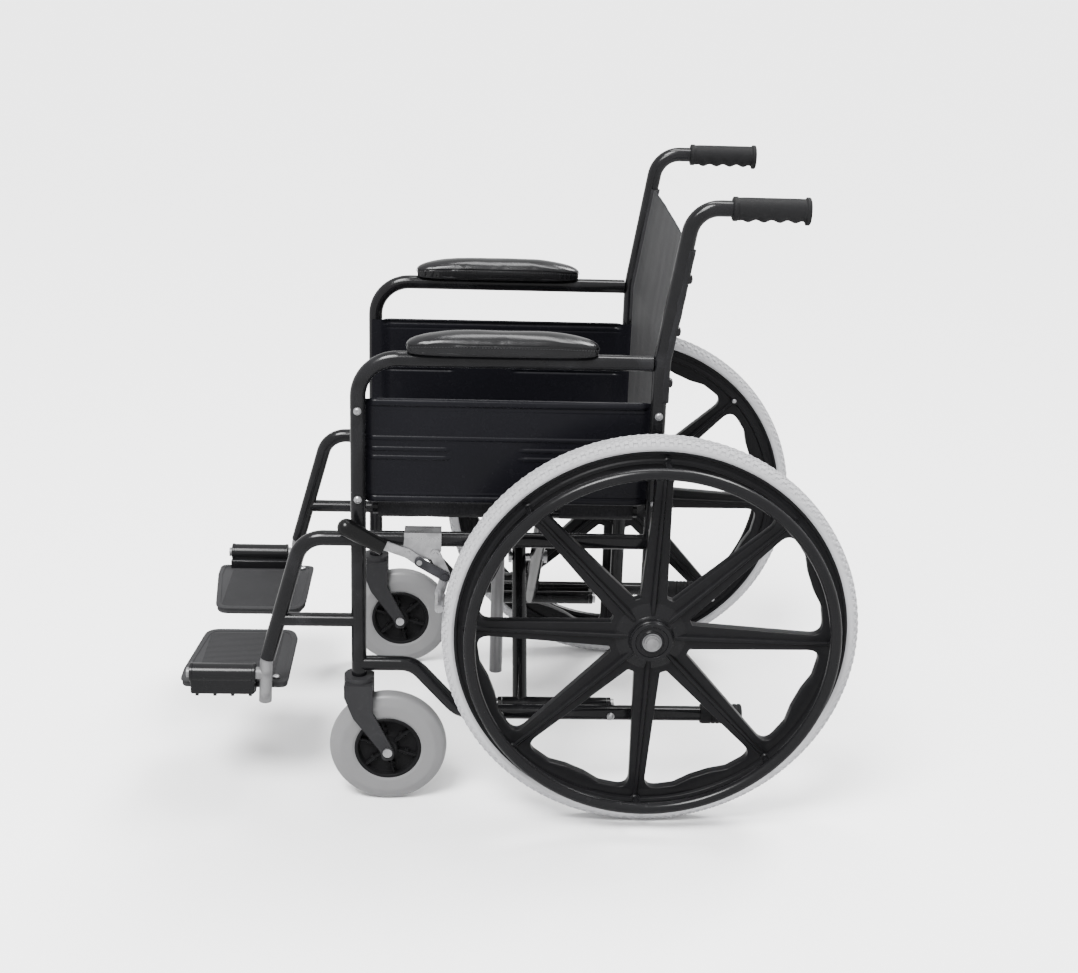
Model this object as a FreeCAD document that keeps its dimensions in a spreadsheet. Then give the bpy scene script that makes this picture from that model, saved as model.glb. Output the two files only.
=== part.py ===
"""Manual folding wheelchair, as separate pieces.

+X points forwards, +Y to the sitter's left and +Z up.  The origin is on the floor, at the middle
of the chair's length and width.  The left-hand pieces are built and the right-hand ones mirrored.
Every piece is built with X = 0 at the rear axle and then moved back by one bound shift.
"""
import FreeCAD, Part
import math
import os
import re

import Sketcher

Vector = FreeCAD.Vector
Rotation = FreeCAD.Rotation
Placement = FreeCAD.Placement

# ---------------------------------------------------------------- driving sizes, millimetres
SIZES = {
    # the whole chair
    "wheel_radius": 300.0,
    "half_spacing": 235.0,
    "foot_reach": 685.0,
    # steel tube
    "tube_radius": 11.1,
    "tube_wall": 1.6,
    "running_gap": 0.05,
    "clearance": 0.5,
    # side frame, x ahead of the axle and heights above the floor
    "front_post_ahead": 421.0,
    "post_foot_height": 204.0,
    "arm_height": 687.0,
    "arm_bend": 56.0,
    "upper_rail_height": 420.0,
    "lower_rail_height": 144.0,
    "front_curve_height": 222.0,
    "front_curve_top": 342.0,
    "front_curve_foot": 272.0,
    "lower_bend": 40.0,
    "lower_rail_tail": 148.0,
    "lug_thickness": 6.0,
    "lug_trim": 2.0,
    "rake_height": 690.0,
    "rake_angle": 9.0,
    "handle_height": 906.0,
    "handle_reach": 189.0,
    "handle_bend": 40.0,
    # push grip and rubber tip
    "grip_radius": 15.5,
    "grip_length": 106.0,
    "grip_lip": 5.0,
    "tip_radius": 15.0,
    "tip_length": 62.0,
    # footrest
    "hanger_height": 419.0,
    "hanger_corner": 502.0,
    "hanger_angle": 15.6,
    "hanger_bend": 40.0,
    "hanger_end": 228.0,
    "hanger_brace_height": 291.0,
    "hanger_brace_radius": 10.1,
    "foot_tube_kink": 221.0,
    "foot_tube_end": 158.0,
    "foot_tube_end_ahead": 560.0,
    "foot_tube_inside": 95.0,
    "foot_tube_bend": 40.0,
    "foot_pin_height": 203.0,
    "foot_pin_radius": 5.0,
    "barrel_radius": 15.0,
    "barrel_start": 573.0,
    "barrel_end": 669.0,
    "plate_top": 183.0,
    "plate_thickness": 11.0,
    "plate_rear": 532.0,
    "plate_reach": 193.0,
    "plate_corner": 22.0,
    "plate_edge_gap": 13.0,
    # skirt guard
    "guard_bottom": 477.0,
    "guard_height": 145.0,
    "guard_thickness": 3.0,
    "guard_edge_radius": 3.0,
    "guard_rib_start": 0.42,
    "guard_rib_step": 0.115,
    # arm pad
    "pad_start": 84.0,
    "pad_length": 273.0,
    "pad_width": 56.0,
    "pad_thickness": 31.0,
    "pad_round": 12.0,
    # rear wheel
    "wheel_offset": 55.0,
    "tyre_width": 36.0,
    "tyre_depth": 18.0,
    "rim_width": 32.0,
    "rim_depth": 31.0,
    "rim_wave": 9.0,
    "spoke_count": 8,
    "spoke_root": 19.0,
    "spoke_tip": 11.0,
    "spoke_depth": 16.0,
    "spoke_turn": 2.0,
    "rib_width": 6.0,
    "rib_rise": 5.0,
    "rim_ledge": 12.0,
    "hub_radius": 31.0,
    "hub_flange": 60.0,
    "hub_length": 62.0,
    "lobe_round": 22.0,
    "axle_radius": 6.0,
    "bearing_radius": 14.0,
    "bearing_length": 12.0,
    "washer_radius": 11.5,
    "washer_thickness": 2.5,
    "bolt_head_step": 3.0,
    "bolt_head_height": 5.0,
    "axle_nut_step": 4.0,
    "axle_nut_height": 8.0,
    "handrim_inset": 40.0,
    "handrim_tube": 8.5,
    "handrim_offset": 101.0,
    # castor
    "castor_radius": 87.5,
    "castor_width": 34.0,
    "castor_hub_radius": 50.0,
    "castor_hub_width": 28.0,
    "castor_hub_wall": 6.0,
    "castor_web": 6.0,
    "castor_boss": 14.0,
    "castor_rib_count": 6,
    "castor_rib_width": 4.0,
    "castor_rib_step": 8.0,
    "castor_trail": 43.0,
    "castor_axle_radius": 4.0,
    "fork_cap_radius": 22.0,
    "fork_cap_height": 27.0,
    "fork_wall": 6.0,
    "fork_gap": 3.0,
    "fork_leg": 20.0,
    "fork_shoulder": 8.0,
    "fork_front_drop": 34.0,
    "fork_rear_drop": 26.0,
    "fork_floor": 6.0,
    "stem_length": 60.0,
    # cross brace and seat
    "pivot_inset": 33.0,
    "pivot_height": 140.0,
    "seat_height": 457.0,
    "leg_front": 181.0,
    "leg_rear": 153.0,
    "sleeve_wall": 3.0,
    "sleeve_length": 40.0,
    "foot_tube_start": 50.0,
    "foot_tube_front": 208.0,
    "pivot_bolt": 6.0,
    "seat_rail_start": 20.0,
    "seat_rail_length": 382.0,
    "guide_ahead": 219.0,
    "guide_radius": 9.5,
    "guide_end": 196.0,
    "guide_sleeve_height": 36.0,
    "sling_thickness": 3.0,
    "sling_end": 6.0,
    "back_sling_top": 850.0,
    "back_sling_rise": 30.0,
    # wheel lock
    "lock_behind_shoe": 1.5,
    "lock_drop": 78.0,
    "lock_clamp_length": 53.0,
    "lock_plate": 3.0,
    "lock_gap": 0.6,
    "lock_bolt": 4.0,
    "lock_bar_radius": 6.0,
    "lock_arm_width": 7.0,
    "lock_toe_width": 8.0,
    "lock_tang_width": 5.0,
    "lock_clamp_wall": 3.0,
    "lock_bolt_stand": 2.0,
    "lock_grip_radius": 13.0,
    "screw_head_height": 3.0,
    # screws
    "screw_radius": 3.0,
    "screw_head": 5.5,
    "screw_inset": 8.0,
    "screw_rise": 6.0,
    "pivot_bolt_stand": 8.0,
}

doc = FreeCAD.newDocument("Wheelchair")
sheet = doc.addObject("Spreadsheet::Sheet", "Sizes")
for row, (alias, value) in enumerate(SIZES.items(), 1):
    sheet.set(f"A{row}", alias)
    sheet.set(f"B{row}", str(value))
    sheet.setAlias(f"B{row}", alias)
doc.recompute()

SHIFT = "(wheel_radius - foot_reach) / 2"
RIM_INNER = "(wheel_radius - tyre_depth - rim_depth)"
HANDRIM_RADIUS = "(wheel_radius - handrim_inset)"
pieces = []


# ---------------------------------------------------------------- helpers
def cells(formula):
    """A formula of sheet aliases as a FreeCAD expression."""
    return re.sub(r"[a-z_]+", lambda word: f"Sizes.{word[0]}" if word[0] in SIZES else word[0],
                  str(formula))


def number(formula):
    """The same formula worked out now, for places that expressions cannot reach."""
    return float(sheet.evalExpression(cells(formula)))


def bind(piece, **formulas):
    """Tie properties to the sheet; a double underscore in a name stands for a dot."""
    for name, formula in formulas.items():
        piece.setExpression(name.replace("__", "."), cells(formula))
    return piece


def place(piece, at, turn=None):
    """Put a piece at three formulas, turned by a rotation."""
    piece.Placement = Placement(Vector(), turn or Rotation())
    for axis, formula in zip("xyz", at):
        piece.setExpression(f"Placement.Base.{axis}", cells(formula))
    return piece


TURNS = {
    "X": Rotation(Vector(0, 1, 0), 90),
    "Y": Rotation(Vector(1, 0, 0), -90),
    "Z": Rotation(),
}


def turned(along):
    """The rotation for an axis letter, or a rotation as it is."""
    return TURNS[along] if isinstance(along, str) else along


def rod(name, radius, length, at, along="Z"):
    """A round bar whose lower end is at the given place."""
    bar = doc.addObject("Part::Cylinder", name)
    bind(bar, Radius=radius, Height=length)
    return place(bar, at, turned(along))


def cone(name, radius, end_radius, length, at, along="Z"):
    """A tapered round bar."""
    bar = doc.addObject("Part::Cone", name)
    bind(bar, Radius1=radius, Radius2=end_radius, Height=length)
    return place(bar, at, turned(along))


def block(name, lengths, at, turn=None):
    """A box with its lowest corner at the given place."""
    box = doc.addObject("Part::Box", name)
    bind(box, Length=lengths[0], Width=lengths[1], Height=lengths[2])
    return place(box, at, turn)


def ring(name, radius, section, at, along="Z"):
    """A torus of round section."""
    torus = doc.addObject("Part::Torus", name)
    bind(torus, Radius1=radius, Radius2=section)
    return place(torus, at, turned(along))


def fuse(name, *shapes):
    """Several shapes as one solid."""
    joined = doc.addObject("Part::MultiFuse", name)
    joined.Shapes = list(shapes)
    joined.Refine = True
    return joined


def cut(name, base, tool):
    """One shape less another."""
    left = doc.addObject("Part::Cut", name)
    left.Base = base
    left.Tool = tool
    left.Refine = True
    return left


def group(name, *shapes):
    """Separate solids kept together, such as one kind of fastener."""
    together = doc.addObject("Part::Compound", name)
    together.Links = list(shapes)
    return together


def profile(name, edges, at=(0, 0, 0), turn=None):
    """A sketch holding the given edges in its own plane."""
    sketch = doc.addObject("Sketcher::SketchObject", name)
    sketch.addGeometry(edges, False)
    return place(sketch, at, turn)


UPRIGHT = Rotation(Vector(1, 0, 0), 90)   # sketch x stays X and sketch y becomes Z; normal is -Y


def rounded_path(points, radii):
    """Straight runs between points, joined by tangent arcs of the given radii."""
    corners = [Vector(*point) for point in points]
    edges = []
    start = corners[0]
    for before, corner, after, radius in zip(corners, corners[1:], corners[2:], radii):
        back = (before - corner).normalize()
        onward = (after - corner).normalize()
        half = back.getAngle(onward) / 2
        reach = radius / math.tan(half)
        centre = corner + (back + onward).normalize() * (radius / math.sin(half))
        first = corner + back * reach
        last = corner + onward * reach
        middle = centre + (corner - centre).normalize() * radius
        edges += [Part.LineSegment(start, first), Part.Arc(first, middle, last)]
        start = last
    edges.append(Part.LineSegment(start, corners[-1]))
    return edges


def outline(points, radii):
    """A closed outline with a rounded corner at each point that has a radius."""
    corners = [Vector(*point) for point in points]
    count = len(corners)
    edges = []
    ends = []
    for index, radius in enumerate(radii):
        corner = corners[index]
        if radius <= 0:
            ends.append((corner, None, corner))
            continue
        back = (corners[index - 1] - corner).normalize()
        onward = (corners[(index + 1) % count] - corner).normalize()
        half = back.getAngle(onward) / 2
        reach = radius / math.tan(half)
        centre = corner + (back + onward).normalize() * (radius / math.sin(half))
        middle = centre + (corner - centre).normalize() * radius
        ends.append((corner + back * reach, middle, corner + onward * reach))
    for index, (first, middle, last) in enumerate(ends):
        if middle:
            edges.append(Part.Arc(first, middle, last))
        following = ends[(index + 1) % count][0]
        if last.distanceToPoint(following) > 1e-6:
            edges.append(Part.LineSegment(last, following))
    return edges


def bent_bar(name, points, radii, radius, across="half_spacing"):
    """A round bar along a bent path that lies in an upright plane."""
    spine = profile(f"{name}_spine", rounded_path([(x, z, 0) for x, z in points], radii),
                    (0, across, 0), UPRIGHT)
    (x, z), (next_x, next_z) = points[:2]
    section = doc.addObject("Part::Circle", f"{name}_section")
    bind(section, Radius=radius)
    heading = Rotation(Vector(0, 0, 1), Vector(next_x - x, 0, next_z - z))
    place(section, (x, across, z), heading)
    sweep = doc.addObject("Part::Sweep", name)
    sweep.Sections = [section]
    sweep.Spine = (spine, [f"Edge{index + 1}" for index in range(spine.GeometryCount)])
    sweep.Solid = True
    sweep.Frenet = False
    return sweep


def slab(name, edges, thickness, at, turn):
    """A flat outline given a thickness along its sketch's normal."""
    sketch = profile(f"{name}_outline", edges, at, turn)
    plate = doc.addObject("Part::Extrusion", name)
    plate.Base = sketch
    plate.DirMode = "Normal"
    plate.Solid = True
    bind(plate, LengthFwd=thickness)
    return plate


def keep(piece, label):
    """Name a finished left-hand or middle piece and shift it to the chair's own frame."""
    piece.Label = label
    piece.setExpression("Placement.Base.x", cells(SHIFT))
    pieces.append(piece)
    return piece


def keep_pair(piece, label):
    """Keep a left-hand piece and its mirrored right-hand twin."""
    keep(piece, f"left_{label}")
    twin = doc.addObject("Part::Mirroring", f"{piece.Name}_right")
    twin.Source = piece
    twin.Normal = Vector(0, 1, 0)
    twin.Label = f"right_{label}"
    pieces.append(twin)
    return piece


BORE = "(tube_radius - tube_wall)"
MID = "half_spacing"
tube = number("tube_radius")


# ---------------------------------------------------------------- side frame
def front_tube():
    """Front post and arm rest rail, one bent tube, open at its foot for the castor stem."""
    post = number("front_post_ahead")
    arm = number("arm_height")
    foot = number("post_foot_height")
    back = tube
    path = [(post, foot), (post, arm), (back, arm)]
    bend = [number("arm_bend")]
    outer = bent_bar("front_tube_outer", path, bend, "tube_radius")
    inner = bent_bar("front_tube_inner", path, bend, BORE)
    hollow = cut("front_tube_hollow", outer, inner)
    mate = rod("front_tube_mate", "tube_radius", "arm_height", (0, MID, 0))
    keep_pair(cut("front_tube", hollow, mate), "front_tube")


def rear_path():
    """Points of the rear tube from its foot to the end of the push handle."""
    foot = number("lower_rail_height")
    knee = number("rake_height")
    top = number("handle_height")
    rise = top - knee
    lean = rise * math.tan(math.radians(number("rake_angle")))
    return [(0, foot), (0, knee), (-lean, top), (-number("handle_reach"), top)]


def rear_tube():
    """Rear post with its raked back and push handle, one bent tube."""
    path = rear_path()
    bend = [number("handle_bend") * 4, number("handle_bend")]
    outer = bent_bar("rear_tube_outer", path, bend, "tube_radius")
    inner = bent_bar("rear_tube_inner", path, bend, BORE)
    hollow = cut("rear_tube_hollow", outer, inner)
    axle_hole = rod("rear_tube_axle_hole", "axle_radius", "4 * tube_radius",
                    (0, f"{MID} - 2 * tube_radius", "wheel_radius"), "Y")
    rail_mate = rod("rear_tube_rail_mate", "tube_radius", "4 * tube_radius",
                    ("-2 * tube_radius", MID, "lower_rail_height"), "X")
    keep_pair(cut("rear_tube", hollow, fuse("rear_tube_cuts", axle_hole, rail_mate)), "rear_tube")


def upper_rail():
    """Upper side rail between the posts, with the welded sleeve that guides the seat rail."""
    outer = rod("upper_rail_outer", "tube_radius", "front_post_ahead", (0, MID, "upper_rail_height"), "X")
    sleeve = rod("guide_sleeve_outer", "guide_radius + running_gap + sleeve_wall", "guide_sleeve_height",
                 ("guide_ahead", f"{MID} - pivot_inset", "upper_rail_height - guide_sleeve_height / 2"))
    bridge = block("guide_bridge", ("2 * guide_radius", "pivot_inset", "guide_sleeve_height / 2"),
                   ("guide_ahead - guide_radius", f"{MID} - pivot_inset",
                    "upper_rail_height - guide_sleeve_height / 4"))
    inner = rod("upper_rail_inner", BORE, "front_post_ahead", (0, MID, "upper_rail_height"), "X")
    guide_bore = rod("guide_bore", "guide_radius + running_gap", "2 * guide_sleeve_height",
                     ("guide_ahead", f"{MID} - pivot_inset", "upper_rail_height - guide_sleeve_height"))
    front = rod("upper_rail_front_mate", "tube_radius", "arm_height", ("front_post_ahead", MID, 0))
    rear = rod("upper_rail_rear_mate", "tube_radius", "arm_height", (0, MID, 0))
    body = fuse("upper_rail_body", outer, sleeve, bridge)
    keep_pair(cut("upper_rail", body, fuse("upper_rail_cuts", inner, guide_bore, front, rear)),
              "upper_rail")


def lower_rail():
    """Lower side rail: from the front post, down in a curve and back to the tipping lever."""
    low = number("lower_rail_height")
    high = number("front_curve_height")
    path = [
        (number("front_post_ahead"), high),
        (number("front_curve_top"), high),
        (number("front_curve_foot"), low),
        (-number("lower_rail_tail"), low),
    ]
    bend = [number("lower_bend"), number("lower_bend")]
    outer = bent_bar("lower_rail_outer", path, bend, "tube_radius")
    inner = bent_bar("lower_rail_inner", path, bend, BORE)
    lugs = []
    for name, start in (("lug_rear", "foot_tube_start - clearance - lug_thickness"),
                        ("lug_front", "foot_tube_front + clearance")):
        plate = block(f"{name}_plate", ("lug_thickness", "pivot_inset", "2 * (tube_radius - lug_trim)"),
                      (start, f"{MID} - pivot_inset", "pivot_height - tube_radius + lug_trim"))
        eye = rod(f"{name}_eye", "tube_radius", "lug_thickness",
                  (start, f"{MID} - pivot_inset", "pivot_height"), "X")
        lugs += [plate, eye]
    body = fuse("lower_rail_body", outer, *lugs)
    bolt_hole = rod("lug_bolt_hole", "pivot_bolt", "foot_tube_front - foot_tube_start + 40",
                    ("foot_tube_start - 20", f"{MID} - pivot_inset", "pivot_height"), "X")
    front = rod("lower_rail_front_mate", "tube_radius", "arm_height", ("front_post_ahead", MID, 0))
    keep_pair(cut("lower_rail", body, fuse("lower_rail_cuts", inner, bolt_hole, front)), "lower_rail")


def hanger_line(height):
    """How far ahead of the axle the footrest hanger's straight is at a height."""
    slope = math.tan(math.radians(number("hanger_angle")))
    return number("hanger_corner") + (number("hanger_height") - height) * slope


def footrest_hanger():
    """Fixed footrest hanger: a bent tube and a short brace, welded to the front post."""
    end = number("hanger_end")
    top = number("hanger_height")
    path = [(hanger_line(end), end), (number("hanger_corner"), top), (number("front_post_ahead"), top)]
    bend = [number("hanger_bend")]
    outer = bent_bar("hanger_outer", path, bend, "tube_radius")
    inner = bent_bar("hanger_inner", path, bend, BORE)
    brace_length = hanger_line(number("hanger_brace_height")) - number("front_post_ahead")
    brace = rod("hanger_brace", "hanger_brace_radius", brace_length,
                ("front_post_ahead", MID, "hanger_brace_height"), "X")
    mate = rod("hanger_mate", "tube_radius", "arm_height", ("front_post_ahead", MID, 0))
    body = fuse("hanger_body", outer, brace)
    keep_pair(cut("footrest_hanger", body, fuse("hanger_cuts", inner, mate)), "footrest_hanger")


def push_grip():
    """Rubber hand grip over the end of the push handle, with a lip at its rear."""
    start = "-handle_reach - 2"
    outer = rod("grip_outer", "grip_radius", "grip_length", (start, MID, "handle_height"), "X")
    lip = cone("grip_lip_cone", "grip_radius + grip_lip", "grip_radius", "3 * grip_lip",
               (start, MID, "handle_height"), "X")
    inner = rod("grip_inner", "tube_radius", "grip_length", ("-handle_reach", MID, "handle_height"), "X")
    keep_pair(cut("push_grip", fuse("grip_body", outer, lip), inner), "push_grip")


def tip_cap():
    """Rubber cap on the rear end of the lower rail, the tipping lever."""
    start = "-lower_rail_tail - 3"
    outer = rod("tip_outer", "tip_radius", "tip_length", (start, MID, "lower_rail_height"), "X")
    inner = rod("tip_inner", "tube_radius", "tip_length",
                ("-lower_rail_tail", MID, "lower_rail_height"), "X")
    keep_pair(cut("tip_cap", outer, inner), "tip_cap")


# ---------------------------------------------------------------- guard, pad and screws
def guard_face():
    """Formula for the guard's outer face, just inside the posts."""
    return f"{MID} - tube_radius"


def skirt_guard():
    """Plastic side panel inside the posts, with rolled edges and three ribs."""
    length = "front_post_ahead + tube_radius"
    inside = f"{guard_face()} - guard_thickness"
    sheet_body = block("guard_sheet", (length, "guard_thickness", "guard_height"),
                       ("-tube_radius / 2", inside, "guard_bottom"))
    shapes = [sheet_body]
    for name, height in (("guard_top", "guard_bottom + guard_height"), ("guard_low", "guard_bottom")):
        shapes.append(rod(name, "guard_edge_radius", length,
                          ("-tube_radius / 2", f"{guard_face()} - guard_edge_radius", height), "X"))
    for index in range(3):
        shapes.append(rod(f"guard_rib_{index}", "guard_thickness / 2", "front_post_ahead / 3",
                          ("front_post_ahead * 2 / 3 - tube_radius - 4",
                           f"{inside} + guard_thickness * 0.75",
                           f"guard_bottom + guard_height * (guard_rib_start + guard_rib_step * {index})"), "X"))
    keep_pair(fuse("skirt_guard", *shapes), "skirt_guard")


def arm_pad():
    """Padded arm rest, a crowned block with rounded edges on the arm rail."""
    box = block("pad_block", ("pad_length", "pad_width", "pad_thickness"),
                ("pad_start", f"{MID} - pad_width / 2", "arm_height + tube_radius"))
    doc.recompute()
    rounded = doc.addObject("Part::Fillet", "arm_pad")
    rounded.Base = box
    radius = number("pad_round")
    lower = radius / 3
    top = number("arm_height + tube_radius + pad_thickness")
    edges = []
    for index, edge in enumerate(box.Shape.Edges, 1):
        heights = [vertex.Point.z for vertex in edge.Vertexes]
        size = lower if max(heights) < top - 1 else radius
        edges.append((index, size, size))
    rounded.Edges = edges
    keep_pair(rounded, "arm_pad")


def frame_fasteners():
    """Screws and bolts that stay with the side frame."""
    shapes = []
    guard_screws = ("guard_bottom + guard_height - screw_inset", "guard_bottom + screw_rise")
    spots = [(ahead, height) for ahead in ("front_post_ahead", "0") for height in guard_screws]
    spots.append(("0", "upper_rail_height + 2 * tube_radius"))
    for index, (ahead, height) in enumerate(spots):
        shapes.append(rod(f"frame_screw_{index}", "screw_head", "screw_head_height",
                          (ahead, f"{MID} + tube_radius", height), "Y"))
    for index, ahead in enumerate(("foot_tube_start - clearance - lug_thickness / 2",
                                   "foot_tube_front + clearance + lug_thickness / 2")):
        shapes.append(rod(f"lug_screw_{index}", "screw_head", "screw_head_height",
                          (ahead, f"{MID} + tube_radius", "lower_rail_height"), "Y"))
    bolt = rod("pivot_bolt_shank", "pivot_bolt",
               "foot_tube_front - foot_tube_start + 2 * clearance + 2 * pivot_bolt_stand",
               ("foot_tube_start - clearance - pivot_bolt_stand", f"{MID} - pivot_inset",
                "pivot_height"), "X")
    head = rod("pivot_bolt_head", "pivot_bolt + bolt_head_step", "bolt_head_height",
               ("foot_tube_front + clearance + lug_thickness", f"{MID} - pivot_inset", "pivot_height"), "X")
    nut = rod("pivot_bolt_nut", "pivot_bolt + bolt_head_step", "bolt_head_height",
              ("foot_tube_start - clearance - lug_thickness - bolt_head_height", f"{MID} - pivot_inset",
               "pivot_height"), "X")
    shapes.append(fuse("pivot_bolt_whole", bolt, head, nut))
    keep_pair(group("frame_fasteners", *shapes), "frame_fasteners")


# ---------------------------------------------------------------- rear wheel
WHEEL_MID = f"({MID} + wheel_offset)"


def rear_tyre():
    """Solid tyre of rounded section on the wheel's rim."""
    outer = rod("tyre_outer", "wheel_radius", "tyre_width",
                (0, f"{WHEEL_MID} - tyre_width / 2", "wheel_radius"), "Y")
    doc.recompute()
    crown = doc.addObject("Part::Fillet", "tyre_crown")
    crown.Base = outer
    radius = number("tyre_depth * 0.72")
    crown.Edges = [(index, radius, radius) for index, edge in enumerate(outer.Shape.Edges, 1)
                   if isinstance(edge.Curve, Part.Circle)]
    hole = rod("tyre_hole", "wheel_radius - tyre_depth", "2 * tyre_width",
               (0, f"{WHEEL_MID} - tyre_width", "wheel_radius"), "Y")
    keep_pair(cut("rear_tyre", crown, hole), "rear_tyre")


def spoke_opening(turn):
    """Corners of one opening between two spokes, in the wheel's own plane."""
    count = number("spoke_count")
    half = math.pi / count
    root, tip = number("spoke_root"), number("spoke_tip")
    near, far = number("hub_flange"), number(RIM_INNER)
    wave = number("rim_wave")

    def on_side(radius, side):
        share = (radius - near) / (far - near)
        width = root + (tip - root) * share
        return radius, side * (half - math.asin(width / radius))

    start = near * 1.25
    corners = [on_side(start, -1), on_side(far, -1)]
    radii = [number("lobe_round") / 3, number("lobe_round")]
    for place_on_rim, depth in ((-0.42, 0.25), (-0.16, 1.0), (0.16, 1.0), (0.42, 0.25)):
        corners.append((far - wave * depth, half * place_on_rim))
        radii.append(number("lobe_round") / 2)
    corners += [on_side(far, 1), on_side(start, 1)]
    radii += [number("lobe_round"), number("lobe_round") / 3]
    points = [(radius * math.cos(angle + turn), radius * math.sin(angle + turn), 0) for radius,
              angle in corners]
    return outline(points, radii)


def rear_wheel():
    """Moulded wheel: rim, eight ribbed spokes and hub, bored for its bearings."""
    count = int(number("spoke_count"))
    disc = rod("wheel_disc", "wheel_radius - tyre_depth", "spoke_depth",
               (0, f"{WHEEL_MID} - spoke_depth / 2", "wheel_radius"), "Y")
    rim = rod("rim_band", "wheel_radius - tyre_depth", "rim_width",
              (0, f"{WHEEL_MID} - rim_width / 2", "wheel_radius"), "Y")
    rim_hole = rod("rim_band_hole", f"{RIM_INNER} + rim_ledge", "2 * rim_width",
                   (0, f"{WHEEL_MID} - rim_width", "wheel_radius"), "Y")
    hub = rod("wheel_hub", "hub_radius", "hub_length",
              (0, f"{WHEEL_MID} - hub_length / 2", "wheel_radius"), "Y")
    ribs = []
    openings = []
    for index in range(count):
        turn = math.radians(number("spoke_turn")) + 2 * math.pi * index / count
        ribs.append(block(f"spoke_rib_{index}", (f"{RIM_INNER} - rib_width", "rib_width",
                                                 "spoke_depth + 2 * rib_rise"), (0, 0, 0)))
        direction = Rotation(Vector(0, 1, 0), -math.degrees(turn)).multiply(Rotation(Vector(1, 0, 0), 90))
        sideways = direction.multVec(Vector(0, -number("rib_width") / 2, 0))
        place(ribs[-1], (sideways.x, f"{WHEEL_MID} + spoke_depth / 2 + rib_rise",
                         f"wheel_radius + {sideways.z}"), direction)
        gap = spoke_opening(turn + math.pi / count)
        openings.append(slab(f"spoke_opening_{index}", gap, "2 * spoke_depth",
                             (0, f"{WHEEL_MID} + spoke_depth", "wheel_radius"), UPRIGHT))
    web = cut("wheel_web", disc, fuse("wheel_openings", *openings))
    body = fuse("wheel_body", web, cut("rim_ring", rim, rim_hole), hub, *ribs)
    bearing_bore = rod("wheel_bearing_bore", "bearing_radius", "2 * hub_length",
                       (0, f"{WHEEL_MID} - hub_length", "wheel_radius"), "Y")
    keep_pair(cut("rear_wheel", body, bearing_bore), "rear_wheel")


def hub_bearings():
    """Two ball bearings in the hub, as plain rings, with the spacer between them."""
    shapes = []
    for name, start in (("inner", "-hub_length / 2"), ("outer", "hub_length / 2 - bearing_length")):
        race = rod(f"bearing_{name}", "bearing_radius", "bearing_length",
                   (0, f"{WHEEL_MID} + {start}", "wheel_radius"), "Y")
        hole = rod(f"bearing_{name}_bore", "axle_radius + running_gap", "bearing_length + 2",
                   (0, f"{WHEEL_MID} + {start} - 1", "wheel_radius"), "Y")
        shapes.append(cut(f"bearing_{name}_ring", race, hole))
    keep_pair(group("hub_bearings", *shapes), "hub_bearings")


def rear_axle():
    """Axle bolt through the rear post and the hub, with its nut, spacer and washer."""
    inside = f"{MID} - tube_radius"
    shank = rod("axle_shank", "axle_radius", "wheel_offset + hub_length / 2 + tube_radius + 2",
                (0, inside, "wheel_radius"), "Y")
    spacer = rod("axle_spacer", "axle_radius + axle_nut_step",
                 "wheel_offset - hub_length / 2 - tube_radius - clearance",
                 (0, f"{MID} + tube_radius", "wheel_radius"), "Y")
    nut = rod("axle_nut", "axle_radius + axle_nut_step", "axle_nut_height",
              (0, f"{inside} - axle_nut_height", "wheel_radius"), "Y")
    washer = rod("axle_washer", "washer_radius", "washer_thickness",
                 (0, f"{WHEEL_MID} + hub_length / 2 + clearance", "wheel_radius"), "Y")
    head = rod("axle_head", "axle_radius + bolt_head_step", "bolt_head_height",
               (0, f"{WHEEL_MID} + hub_length / 2 + clearance + 2", "wheel_radius"), "Y")
    tube_body = rod("axle_mate", "tube_radius", "wheel_radius", (0, MID, "wheel_radius / 2"))
    outside = cut("axle_spacer_seat", fuse("axle_outside", spacer, nut), tube_body)
    keep_pair(fuse("rear_axle", shank, outside, washer, head), "rear_axle")


def handrim():
    """Push ring outside the rim, with eight short tabs that reach back to the spoke ends."""
    count = int(number("spoke_count"))
    middle = f"({MID} + handrim_offset)"
    hoop = ring("handrim_ring", HANDRIM_RADIUS, "handrim_tube", (0, middle, "wheel_radius"), "Y")
    shapes = [hoop]
    for index in range(count):
        turn = math.radians(number("spoke_turn")) + 2 * math.pi * index / count
        radius = number(HANDRIM_RADIUS) + 4
        shapes.append(rod(f"handrim_tab_{index}", 5, f"{middle} - {WHEEL_MID} - rim_width / 2",
                          (radius * math.cos(turn), f"{WHEEL_MID} + rim_width / 2",
                           f"wheel_radius + {radius * math.sin(turn)}"),
                          "Y"))
    keep_pair(fuse("handrim", *shapes), "handrim")


# ---------------------------------------------------------------- castor
CASTOR_X = "(front_post_ahead - castor_trail)"
CAP_TOP = "(post_foot_height - clearance)"


def castor_tyre():
    """Fat solid castor tyre."""
    outer = rod("castor_tyre_outer", "castor_radius", "castor_width",
                (CASTOR_X, f"{MID} - castor_width / 2", "castor_radius"), "Y")
    doc.recompute()
    crown = doc.addObject("Part::Fillet", "castor_tyre_crown")
    crown.Base = outer
    radius = number("castor_width * 0.42")
    crown.Edges = [(index, radius, radius) for index, edge in enumerate(outer.Shape.Edges, 1)
                   if isinstance(edge.Curve, Part.Circle)]
    hole = rod("castor_tyre_hole", "castor_hub_radius", "2 * castor_width",
               (CASTOR_X, f"{MID} - castor_width", "castor_radius"), "Y")
    keep_pair(cut("castor_tyre", crown, hole), "castor_tyre")


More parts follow.
